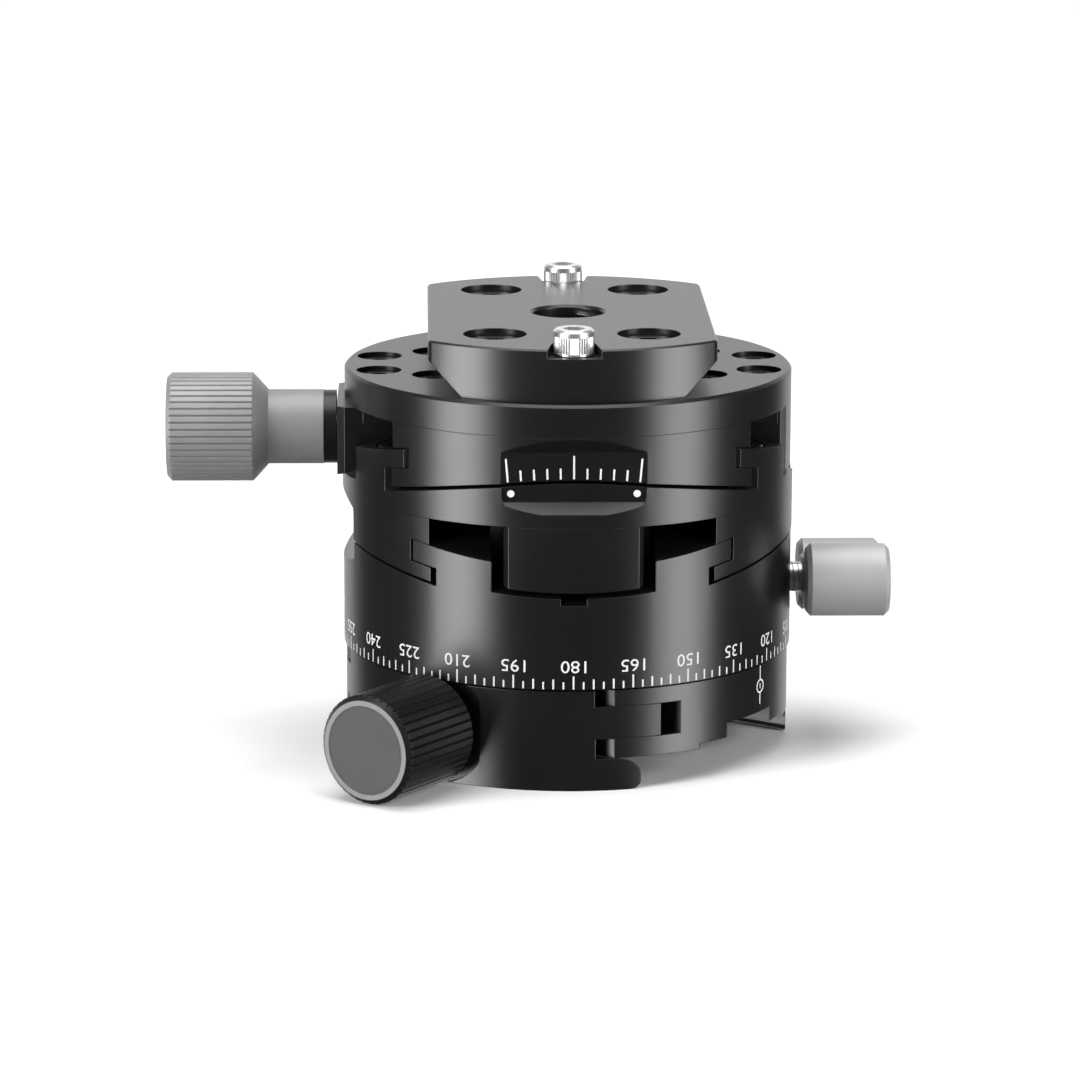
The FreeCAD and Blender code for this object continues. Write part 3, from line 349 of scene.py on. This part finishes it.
@dataclass
class DialScale:
    """Ticks and numbers round the lower edge of the dial body."""

    radius: float = 30.0 * MM
    bottom: float = 6.6 * MM
    proud: float = MARK_PROUD
    depth: float = MARK_DEPTH
    tick_width: float = 0.22 * MM
    tick_start: float = 0.12 * MM
    tick_step_deg: float = 2.5
    long_tick: float = 1.72 * MM
    middle_tick: float = 1.3 * MM
    short_tick: float = 0.95 * MM
    label_step_deg: int = 15
    label_gap: float = 0.42 * MM
    label_height: float = 1.62 * MM
    label_digit_width: float = 1.28 * MM
    text_resolution: int = 3
    text_extrude: float = 0.01
    text_merge: float = 1e-6
    widest_scale: float = 0.0026

    def surface_point(self, reading_deg: float, height: float, lift: float = 0.0) -> Matrix:
        """Place on the skirt at a reading, its X along the rim, its Y up and its Z outwards.

        Args:
            reading_deg: the dial reading, 180 at the front.
            height: height over the dial's bottom edge.
            lift: distance outside the skirt.

        Returns:
            The place as a matrix.
        """
        turn = Matrix.Rotation(math.radians(180.0 - reading_deg), 4, "Z")
        stand = Matrix.Rotation(math.radians(90.0), 4, "X")
        shift = Matrix.Translation((0.0, -self.radius - lift, self.bottom + height))
        return turn @ shift @ stand

    def tick_length(self, index: int) -> float:
        """Length of a tick by its number round the dial.

        Args:
            index: the tick's number, 0 at the reading 0.

        Returns:
            The length in metres.
        """
        if index % 6 == 0:
            return self.long_tick
        return self.middle_tick if index % 2 == 0 else self.short_tick

    def ticks(self, paint: bpy.types.Material) -> bpy.types.Object:
        """Makes all ticks as one piece.

        Args:
            paint: material of the marks.

        Returns:
            The piece.
        """
        mesh = bmesh.new()
        for index in range(round(360 / self.tick_step_deg)):
            length = self.tick_length(index)
            middle = self.tick_start + length / 2
            place = self.surface_point(index * self.tick_step_deg, middle, self.proud - self.depth / 2)
            bar(mesh, Vector((self.tick_width, length, self.depth)), place)
        return keep_mesh("dial_ticks", mesh, paint, "dial")

    def digits(self, reading: int) -> bpy.types.Mesh:
        """Flat outline of one number as a mesh with a small thickness.

        Args:
            reading: the number.

        Returns:
            The mesh, in the text's own units.
        """
        curve = bpy.data.curves.new("digits", "FONT")
        curve.body = str(reading)
        curve.align_x = "CENTER"
        curve.resolution_u = self.text_resolution
        curve.extrude = self.text_extrude
        text = bpy.data.objects.new("digits", curve)
        bpy.context.scene.collection.objects.link(text)
        bpy.context.view_layer.update()
        data = bpy.data.meshes.new_from_object(text.evaluated_get(bpy.context.evaluated_depsgraph_get()))
        bpy.data.objects.remove(text)
        bpy.data.curves.remove(curve)
        return data

    def numbers(self, paint: bpy.types.Material) -> bpy.types.Object:
        """Makes all numbers, upside down as on the dial, and bends them onto the skirt.

        Args:
            paint: material of the marks.

        Returns:
            The piece.
        """
        mesh = bmesh.new()
        for reading in range(0, 360, self.label_step_deg):
            data = self.digits(reading)
            label = bmesh.new()
            label.from_mesh(data)
            bpy.data.meshes.remove(data)
            bmesh.ops.remove_doubles(label, verts=label.verts[:], dist=self.text_merge)
            self.bend(label, reading)
            merged = bpy.data.meshes.new("label")
            label.to_mesh(merged)
            label.free()
            mesh.from_mesh(merged)
            bpy.data.meshes.remove(merged)
        return keep_mesh("dial_numbers", mesh, paint, "dial")

    def bend(self, label: bmesh.types.BMesh, reading: int) -> None:
        """Scales one number to size, turns it upside down and lays it on the skirt.

        Args:
            label: bmesh of the number, changed in place.
            reading: the number.
        """
        across = [vert.co.x for vert in label.verts]
        tall = [vert.co.y for vert in label.verts]
        deep = [vert.co.z for vert in label.verts]
        wide_scale = self.label_digit_width * len(str(reading)) / (max(across) - min(across))
        wide_scale = min(wide_scale, self.widest_scale)
        tall_scale = self.label_height / (max(tall) - min(tall))
        centre = (max(across) + min(across)) / 2
        base = self.bottom + self.tick_start + self.long_tick + self.label_gap
        for vert in label.verts:
            along = -(vert.co.x - centre) * wide_scale
            height = base + (max(tall) - vert.co.y) * tall_scale
            share = (vert.co.z - min(deep)) / (max(deep) - min(deep))
            radius = self.radius + self.proud - self.depth * (1 - share)
            angle = math.radians(180.0 - reading) + along / self.radius
            vert.co = Vector((radius * math.sin(angle), -radius * math.cos(angle), height))
        bmesh.ops.recalc_face_normals(label, faces=label.faces[:])

    def build(self, paint: bpy.types.Material) -> None:
        """Makes the ticks and the numbers."""
        self.ticks(paint)
        self.numbers(paint)


@dataclass
class TiltScale:
    """Eleven ticks on the flat of a scale window, and two dots under them on the carrier."""

    name: str
    tick_body: str
    dot_body: str
    pivot: float
    turn_deg: float
    tick_low: float
    long_high: float
    short_high: float
    dot_radius: float
    dot_angle_deg: float
    tick_width: float = 0.24 * MM
    depth: float = MARK_DEPTH
    proud: float = MARK_PROUD
    spacing_deg: float = 1.0
    ticks_each_side: int = 5
    dot_size: float = 0.47 * MM
    dot_segments: int = 24
    flat: float = 28.28 * MM

    def on_flat(self, radius: float, angle_deg: float) -> Matrix:
        """Place on the window's flat at a radius and angle about the pivot.

        Args:
            radius: distance from the pivot line.
            angle_deg: angle from the vertical, positive to +X in the drawing position.

        Returns:
            The place, with its Y along the radius and its Z out of the flat.
        """
        turn = Matrix.Rotation(math.radians(self.turn_deg), 4, "Z")
        lean = Matrix.Rotation(math.radians(angle_deg), 4, "Y")
        to_pivot = Matrix.Translation((0.0, 0.0, self.pivot))
        stand = Matrix.Rotation(math.radians(90.0), 4, "X")
        reach = Matrix.Translation((0.0, -self.flat - self.proud + self.depth / 2, radius))
        return turn @ to_pivot @ lean @ reach @ stand

    def build(self, paint: bpy.types.Material) -> None:
        """Makes the ticks and the dots.

        Args:
            paint: material of the marks.
        """
        mesh = bmesh.new()
        for index in range(-self.ticks_each_side, self.ticks_each_side + 1):
            high = self.long_high if index % self.ticks_each_side == 0 else self.short_high
            middle = (self.tick_low + high) / 2
            size = Vector((self.tick_width, high - self.tick_low, self.depth))
            bar(mesh, size, self.on_flat(middle, index * self.spacing_deg))
        keep_mesh(self.name + "_ticks", mesh, paint, self.tick_body)
        dots = bmesh.new()
        for side in (-1, 1):
            place = self.on_flat(self.dot_radius, side * self.dot_angle_deg)
            bmesh.ops.create_cone(dots, cap_ends=True, segments=self.dot_segments, radius1=self.dot_size,
                                  radius2=self.dot_size, depth=self.depth, matrix=place)
        keep_mesh(self.name + "_dots", dots, paint, self.dot_body)


@dataclass
class UpperTiltScale(TiltScale):
    """The scale in the front window of the upper slide."""

    name: str = "upper_scale"
    tick_body: str = "top"
    dot_body: str = "mid"
    pivot: float = -63.4 * MM
    turn_deg: float = 0.0
    tick_low: float = 97.5 * MM
    long_high: float = 100.55 * MM
    short_high: float = 98.9 * MM
    dot_radius: float = 95.95 * MM
    dot_angle_deg: float = 4.85


@dataclass
class LowerTiltScale(TiltScale):
    """The scale in the left window of the lower slide."""

    name: str = "lower_scale"
    tick_body: str = "mid"
    dot_body: str = "dial"
    pivot: float = -78.4 * MM
    turn_deg: float = -90.0
    tick_low: float = 101.05 * MM
    long_high: float = 104.1 * MM
    short_high: float = 102.45 * MM
    dot_radius: float = 99.4 * MM
    dot_angle_deg: float = 4.7


@dataclass
class IndexMark:
    """Line with a ring on the clamp, against which the dial is read."""

    radius: float = 29.7 * MM
    angle_deg: float = 57.7
    line_top: float = 6.26 * MM
    line_bottom: float = 1.04 * MM
    ring_height: float = 3.5 * MM
    ring_radius: float = 0.85 * MM
    line_width: float = 0.22 * MM
    stroke_share: float = 0.4
    ring_steps: int = 40
    depth: float = MARK_DEPTH
    proud: float = MARK_PROUD

    def place(self, height: float) -> Matrix:
        """Place on the clamp's side.

        Args:
            height: height over the frame's origin.

        Returns:
            The place, its X along the rim, its Y up and its Z outwards.
        """
        turn = Matrix.Rotation(math.radians(self.angle_deg), 4, "Z")
        shift = Matrix.Translation((0.0, -self.radius - self.proud + self.depth / 2, height))
        return turn @ shift @ Matrix.Rotation(math.radians(90.0), 4, "X")

    def build(self, paint: bpy.types.Material) -> None:
        """Makes the two line parts, the ring and the short stroke in it.

        Args:
            paint: material of the marks.
        """
        mesh = bmesh.new()
        spans = [(self.ring_height + self.ring_radius, self.line_top)]
        spans.append((self.line_bottom, self.ring_height - self.ring_radius))
        stroke = self.stroke_share * self.ring_radius
        spans.append((self.ring_height - stroke, self.ring_height + stroke))
        for low, high in spans:
            size = Vector((self.line_width, high - low, self.depth))
            bar(mesh, size, self.place((low + high) / 2))
        half = self.line_width / 2
        outline = [(0.0, self.ring_radius - half), (0.0, self.ring_radius + half)]
        outline += [(self.depth, self.ring_radius + half), (self.depth, self.ring_radius - half)]
        place = self.place(self.ring_height)
        out = (place.to_3x3() @ Vector((0.0, 0.0, 1.0))).normalized()
        lathe(mesh, outline, place.translation - out * self.depth / 2, out, self.ring_steps)
        keep_mesh("index_mark", mesh, paint, "base")


@dataclass
class ThreadForm:
    """Screw thread on a rod or in a hole, as one helical ridge with closed ends."""

    name: str
    body: str
    slot: str
    start: Vector
    axis: Vector
    root: float
    crest: float
    pitch: float
    length: float
    steps_per_turn: int = 40
    foot_share: float = 0.44
    crest_share: float = 0.10

    def build(self, material: bpy.types.Material) -> bpy.types.Object:
        """Makes the ridge by spinning its section with a lead.

        Args:
            material: its material.

        Returns:
            The piece.
        """
        mesh = bmesh.new()
        side = self.axis.orthogonal().normalized()
        half = self.pitch * self.foot_share
        tip = self.pitch * self.crest_share
        outline = [(-half, self.root), (-tip, self.crest), (tip, self.crest), (half, self.root)]
        points = [self.start + self.axis * along + side * radius for along, radius in outline]
        first = mesh.faces.new([mesh.verts.new(point) for point in points])
        turns = max(1.0, (self.length - 2 * half) / self.pitch)
        steps = round(turns * self.steps_per_turn)
        bmesh.ops.translate(mesh, verts=mesh.verts[:], vec=self.axis * half)
        bmesh.ops.spin(mesh, geom=[first], cent=self.start, axis=self.axis, angle=2 * math.pi * turns,
                       dvec=self.axis * (self.pitch * turns / steps), steps=steps, use_merge=False,
                       use_normal_flip=False, use_duplicate=False)
        bmesh.ops.contextual_create(mesh, geom=[edge for edge in mesh.edges if edge.is_boundary])
        bmesh.ops.recalc_face_normals(mesh, faces=mesh.faces[:])
        return keep_mesh(self.name, mesh, material, self.body, smooth=True)


@dataclass
class CameraThread(ThreadForm):
    """The camera screw's thread in the dovetail plate."""

    name: str = "camera_thread_ridge"
    body: str = "top"
    slot: str = "plate_anodised"
    start: Vector = field(default_factory=lambda: Vector((0.0, 0.0, 44.15)) * MM)
    axis: Vector = field(default_factory=lambda: Axis.Z.vector)
    root: float = 4.755 * MM
    crest: float = 4.3 * MM
    pitch: float = 1.5875 * MM
    length: float = 6.3 * MM


@dataclass
class LockScrewThread(ThreadForm):
    """The thread on the part of the lock screw that shows behind the wing knob."""

    name: str = "lock_screw_ridge"
    body: str = "lock_knob_set"
    slot: str = "spindle_steel"
    start: Vector = field(default_factory=lambda: Vector((29.9, 0.0, 14.65)) * MM)
    axis: Vector = field(default_factory=lambda: Axis.X.vector)
    root: float = 1.7 * MM
    crest: float = 2.04 * MM
    pitch: float = 0.7 * MM
    length: float = 1.75 * MM


@dataclass
class StopScrews:
    """The two bright stop screws, with knurled heads and hexagon sockets."""

    offset: float = 25.0 * MM
    seat: float = 49.75 * MM
    head_radius: float = 2.62 * MM
    head_height: float = 3.4 * MM
    shank_radius: float = 1.5 * MM
    shank_length: float = 4.4 * MM
    socket_radius: float = 1.45 * MM
    socket_depth: float = 1.5 * MM
    knurls: int = 44
    knurl_depth: float = 0.10 * MM
    knurl_low: float = 0.40 * MM
    knurl_high: float = 2.50 * MM
    foot_bevel: float = 0.12 * MM
    top_bevel: float = 0.28 * MM
    rim_width: float = 0.55 * MM
    shank_steps: int = 32

    def shape_ring(self, verts: list[bmesh.types.BMVert], centre: Vector, radius: float, cut: float) -> None:
        """Moves a ring of the head to a radius, every other vertex deeper by the knurl's cut.

        Args:
            verts: vertices of the ring.
            centre: middle of the head's underside.
            radius: wanted radius of the outer vertices.
            cut: how much deeper the others lie.
        """
        for vert in verts:
            radial = Vector((vert.co.x - centre.x, vert.co.y - centre.y, 0.0))
            step = round(math.atan2(radial.y, radial.x) / (math.pi / self.knurls))
            wanted = radius - (cut if step % 2 else 0.0)
            vert.co += radial.normalized() * (wanted - radial.length)

    def head(self, mesh: bmesh.types.BMesh, centre: Vector) -> None:
        """Adds one head with its knurled band and socket.

        Args:
            mesh: bmesh to add to.
            centre: middle of the head's underside.
        """
        ring = bmesh.ops.create_circle(mesh, cap_ends=True, radius=self.head_radius - self.foot_bevel,
                                       segments=self.knurls * 2)
        bmesh.ops.translate(mesh, verts=ring["verts"], vec=centre)
        cap = ring["verts"][0].link_faces[0]
        steps = [
            (self.foot_bevel, self.head_radius, 0.0),
            (self.knurl_low, self.head_radius, 0.0),
            (self.knurl_low, self.head_radius, self.knurl_depth),
            (self.knurl_high, self.head_radius, self.knurl_depth),
            (self.knurl_high, self.head_radius, 0.0),
            (self.head_height - self.top_bevel, self.head_radius, 0.0),
            (self.head_height, self.head_radius - self.top_bevel, 0.0),
        ]
        foot = True
        for height, radius, cut in steps:
            grown = bmesh.ops.extrude_face_region(mesh, geom=[cap])
            if not foot:
                bmesh.ops.delete(mesh, geom=[cap], context="FACES_ONLY")
            foot = False
            cap = [item for item in grown["geom"] if isinstance(item, bmesh.types.BMFace)][0]
            for vert in cap.verts:
                vert.co.z = centre.z + height
            self.shape_ring(list(cap.verts), centre, radius, cut)
        self.socket(mesh, cap)

    def socket(self, mesh: bmesh.types.BMesh, cap: bmesh.types.BMFace) -> None:
        """Insets the head's top face and sinks a six-sided socket into it.

        Args:
            mesh: bmesh to change.
            cap: top face of the head.
        """
        centre = cap.calc_center_median()
        rim = bmesh.ops.inset_region(mesh, faces=[cap], thickness=self.rim_width, depth=0.0)
        inner = cap if cap.is_valid else rim["faces"][0]
        for vert in inner.verts:
            offset = vert.co - centre
            angle = math.atan2(offset.y, offset.x)
            sector = (angle % (math.pi / 3)) - math.pi / 6
            reach = self.socket_radius * math.cos(math.pi / 6) / math.cos(sector)
            vert.co = centre + Vector((math.cos(angle), math.sin(angle), 0.0)) * reach
        sunk = bmesh.ops.extrude_face_region(mesh, geom=[inner])
        bmesh.ops.delete(mesh, geom=[inner], context="FACES_ONLY")
        floor = [item for item in sunk["geom"] if isinstance(item, bmesh.types.BMVert)]
        bmesh.ops.translate(mesh, verts=floor, vec=Vector((0.0, 0.0, -self.socket_depth)))

    def build(self, material: bpy.types.Material) -> bpy.types.Object:
        """Makes both screws as one piece that stands for the CAD screws.

        Args:
            material: polished steel.

        Returns:
            The piece.
        """
        mesh = bmesh.new()
        for side in (-1, 1):
            self.head(mesh, Vector((0.0, side * self.offset, self.seat)))
            outline = [(0.0, 0.0), (0.0, self.shank_radius), (self.shank_length, self.shank_radius)]
            outline.append((self.shank_length, 0.0))
            foot = Vector((0.0, side * self.offset, self.seat - self.shank_length))
            lathe(mesh, outline, foot, Axis.Z.vector, self.shank_steps)
        bmesh.ops.recalc_face_normals(mesh, faces=mesh.faces[:])
        piece = keep_mesh("stop_screw_pair", mesh, material, "top")
        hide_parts("stop_screws")
        return piece


@dataclass
class KnobRim:
    """Bare grey rim round the end cap of the clamp knob, with a black groove inside it."""

    turn_deg: float = 36.5
    face: float = 45.2 * MM
    height: float = 0.35 * MM
    groove_inner: float = 5.56 * MM
    rim_inner: float = 5.86 * MM
    rim_outer: float = 6.5 * MM
    thickness: float = 0.02 * MM
    steps: int = 96

    def ring(self, name: str, inner: float, outer: float, slot: str,
             material: bpy.types.Material) -> bpy.types.Object:
        """Makes one thin ring on the knob's face.

        Args:
            name: its name.
            inner: inner radius.
            outer: outer radius.
            slot: not used.
            material: its material.

        Returns:
            The piece.
        """
        turn = math.radians(self.turn_deg)
        axis = Vector((-math.sin(turn), -math.cos(turn), 0.0))
        start = axis * (self.face - self.thickness / 2) + Vector((0.0, 0.0, self.height))
        outline = [(0.0, inner), (0.0, outer), (self.thickness, outer), (self.thickness, inner)]
        mesh = bmesh.new()
        lathe(mesh, outline, start, axis, self.steps)
        return keep_mesh(name, mesh, material, "clamp_knob_set")

    def build(self, grey: bpy.types.Material, black: bpy.types.Material) -> None:
        """Makes the rim and the groove.

        Args:
            grey: material of the rim.
            black: material of the groove.
        """
        self.ring("clamp_knob_rim", self.rim_inner, self.rim_outer, "knob_grey", grey)
        self.ring("clamp_knob_groove", self.groove_inner, self.rim_inner, "knob_black", black)


@dataclass
class Studio:
    """Pale floor, soft lamps and the camera at the photograph's place."""

    floor_height: float = -7.0 * MM
    floor_size: float = 12.0
    floor_cells: int = 8
    paper_scale: float = 3.0
    paper_detail: float = 2.0
    dome_radius: float = 1.9
    dome_segments: int = 64
    camera_place: Vector = field(default_factory=lambda: Vector((-19.3736, -647.1878, 165.8677)) * MM)
    yaw_deg: float = 1.3911
    pitch_deg: float = -12.7198
    roll_deg: float = 0.17704
    lens: float = 164.551
    sensor_width: float = 36.0
    clip_near: float = 0.05
    clip_far: float = 50.0
    air_strength: float = 0.10
    panel_height: float = 0.02
    overhead_place: tuple = (0.0, 0.1, 1.5)
    overhead_size: tuple = (1.5, 1.5)
    overhead_power: float = 26.0
    panels: tuple = (
        ("left_panel", 58.0, 1.3, (0.62, 1.8), 45.0),
        ("right_panel", -58.0, 1.3, (0.62, 1.8), 35.0),
        ("back_panel", 180.0, 1.5, (2.4, 2.4), 19.0),
    )

    def floor(self) -> bpy.types.Object:
        """Makes the floor.

        Returns:
            The floor, which the head's gloss doesn't see.
        """
        mesh = bmesh.new()
        bmesh.ops.create_grid(mesh, x_segments=self.floor_cells, y_segments=self.floor_cells,
                              size=self.floor_size / 2,
                              matrix=Matrix.Translation((0.0, 0.0, self.floor_height)))
        data = bpy.data.meshes.new("studio_floor")
        mesh.to_mesh(data)
        mesh.free()
        sheet = NodeSheet("pale_paper")
        cloud = sheet.noise(self.paper_scale, self.paper_detail, sheet.object_coordinates())
        colour = sheet.tint(cloud, (0.86, 0.86, 0.86), (0.88, 0.88, 0.88))
        shader = sheet.add("ShaderNodeBsdfPrincipled", None, {
            "Base Color": colour,
            "Roughness": 0.9,
            "Specular IOR Level": 0.1,
        })
        data.materials.append(sheet.finish(shader.outputs["BSDF"]))
        piece = bpy.data.objects.new("studio_floor", data)
        bpy.context.scene.collection.objects.link(piece)
        piece.visible_glossy = False
        return piece

    def backdrop(self) -> bpy.types.Object:
        """Makes a pale dome round the floor, so that low views end in a pale wall.

        Returns:
            The dome, which only the camera sees.
        """
        mesh = bmesh.new()
        bmesh.ops.create_uvsphere(mesh, u_segments=self.dome_segments, v_segments=self.dome_segments // 2,
                                  radius=self.dome_radius)
        data = bpy.data.meshes.new("studio_dome")
        mesh.to_mesh(data)
        mesh.free()
        sheet = NodeSheet("pale_wall")
        glow = sheet.add("ShaderNodeEmission", None, {"Color": (1.0, 1.0, 1.0, 1.0), "Strength": 1.0})
        data.materials.append(sheet.finish(glow.outputs["Emission"]))
        piece = bpy.data.objects.new("studio_dome", data)
        bpy.context.scene.collection.objects.link(piece)
        for ray in ("diffuse", "glossy", "transmission", "volume_scatter", "shadow"):
            setattr(piece, "visible_" + ray, False)
        return piece

    def camera(self) -> bpy.types.Object:
        """Makes the camera from the photograph's fitted place, turn and lens.

        Returns:
            The camera.
        """
        yaw, pitch, roll = (math.radians(v) for v in (self.yaw_deg, self.pitch_deg, self.roll_deg))
        flat = math.cos(pitch)
        forward = Vector((math.sin(yaw) * flat, math.cos(yaw) * flat, math.sin(pitch)))
        level = forward.cross(Axis.Z.vector).normalized()
        rise = level.cross(forward)
        right = level * math.cos(roll) + rise * math.sin(roll)
        up = rise * math.cos(roll) - level * math.sin(roll)
        lens = bpy.data.cameras.new("photo_camera")
        lens.lens = self.lens
        lens.sensor_width = self.sensor_width
        lens.clip_start = self.clip_near
        lens.clip_end = self.clip_far
        camera = bpy.data.objects.new("photo_camera", lens)
        turn = Matrix((right, up, -forward)).transposed().to_4x4()
        camera.matrix_world = Matrix.Translation(self.camera_place) @ turn
        bpy.context.scene.collection.objects.link(camera)
        bpy.context.scene.camera = camera
        return camera

    def lamp(self, name: str, place: tuple, target: tuple, size: tuple, power: float) -> bpy.types.Object:
        """Makes one soft rectangular lamp.

        Args:
            name: its name.
            place: where it stands, in metres.
            target: the point it faces.
            size: width and height in metres.
            power: watts.

        Returns:
            The lamp.
        """
        light = bpy.data.lights.new(name, "AREA")
        light.shape = "RECTANGLE"
        light.size, light.size_y = size
        light.energy = power
        lamp = bpy.data.objects.new(name, light)
        lamp.location = place
        lamp.rotation_euler = (Vector(target) - Vector(place)).to_track_quat("-Z", "Y").to_euler()
        bpy.context.scene.collection.objects.link(lamp)
        return lamp

    def build(self) -> None:
        """Makes the world, the floor, the lamps and the camera."""
        world = bpy.data.worlds.new("studio_air")
        world.use_nodes = True
        air = world.node_tree.nodes["Background"]
        air.inputs["Color"].default_value = (1.0, 1.0, 1.0, 1.0)
        air.inputs["Strength"].default_value = self.air_strength
        bpy.context.scene.world = world
        bpy.context.scene.view_settings.view_transform = "Standard"
        self.floor()
        self.backdrop()
        self.camera()
        for name, azimuth, distance, size, power in self.panels:
            angle = math.radians(azimuth)
            place = (-distance * math.sin(angle), -distance * math.cos(angle), self.panel_height)
            self.lamp(name, place, (0.0, 0.0, self.panel_height), size, power)
        self.lamp("overhead", self.overhead_place, (0.0, 0.0, 0.0), self.overhead_size, self.overhead_power)


def clear_start_scene() -> None:
    """Removes the objects that Blender starts with."""
    for name in ("Cube", "Light", "Camera"):
        left = bpy.data.objects.get(name)
        if left is not None:
            bpy.data.objects.remove(left)


def dress_cad_nodes(materials: dict[str, bpy.types.Material]) -> None:
    """Gives each CAD node the finish of its record slot.

    Args:
        materials: built materials by slot name.
    """
    slots = {part["node"]: part["material_slot"] for part in frame["record"]["subparts"]}
    for name, node in frame["nodes"].items():
        chosen = SPECIAL_FINISH.get(name, slots[name])
        for index in range(len(node.material_slots)):
            node.material_slots[index].material = materials[chosen]
        LOG.info("%s: %s", name, chosen)


def main() -> None:
    """Builds the looks of the head in order."""
    logging.basicConfig(level=logging.INFO)
    clear_start_scene()
    materials = Palette().by_slot()
    Studio().build()
    dress_cad_nodes(materials)
    DialScale().build(materials["paint"])
    UpperTiltScale().build(materials["paint"])
    LowerTiltScale().build(materials["paint"])
    IndexMark().build(materials["paint"])
    StopScrews().build(materials["screw_silver"])
    KnobRim().build(materials["rim_grey"], materials["knob_black"])
    CameraThread().build(materials["plate_anodised"])
    LockScrewThread().build(materials["spindle_steel"])


if __name__ == "__main__":
    main()
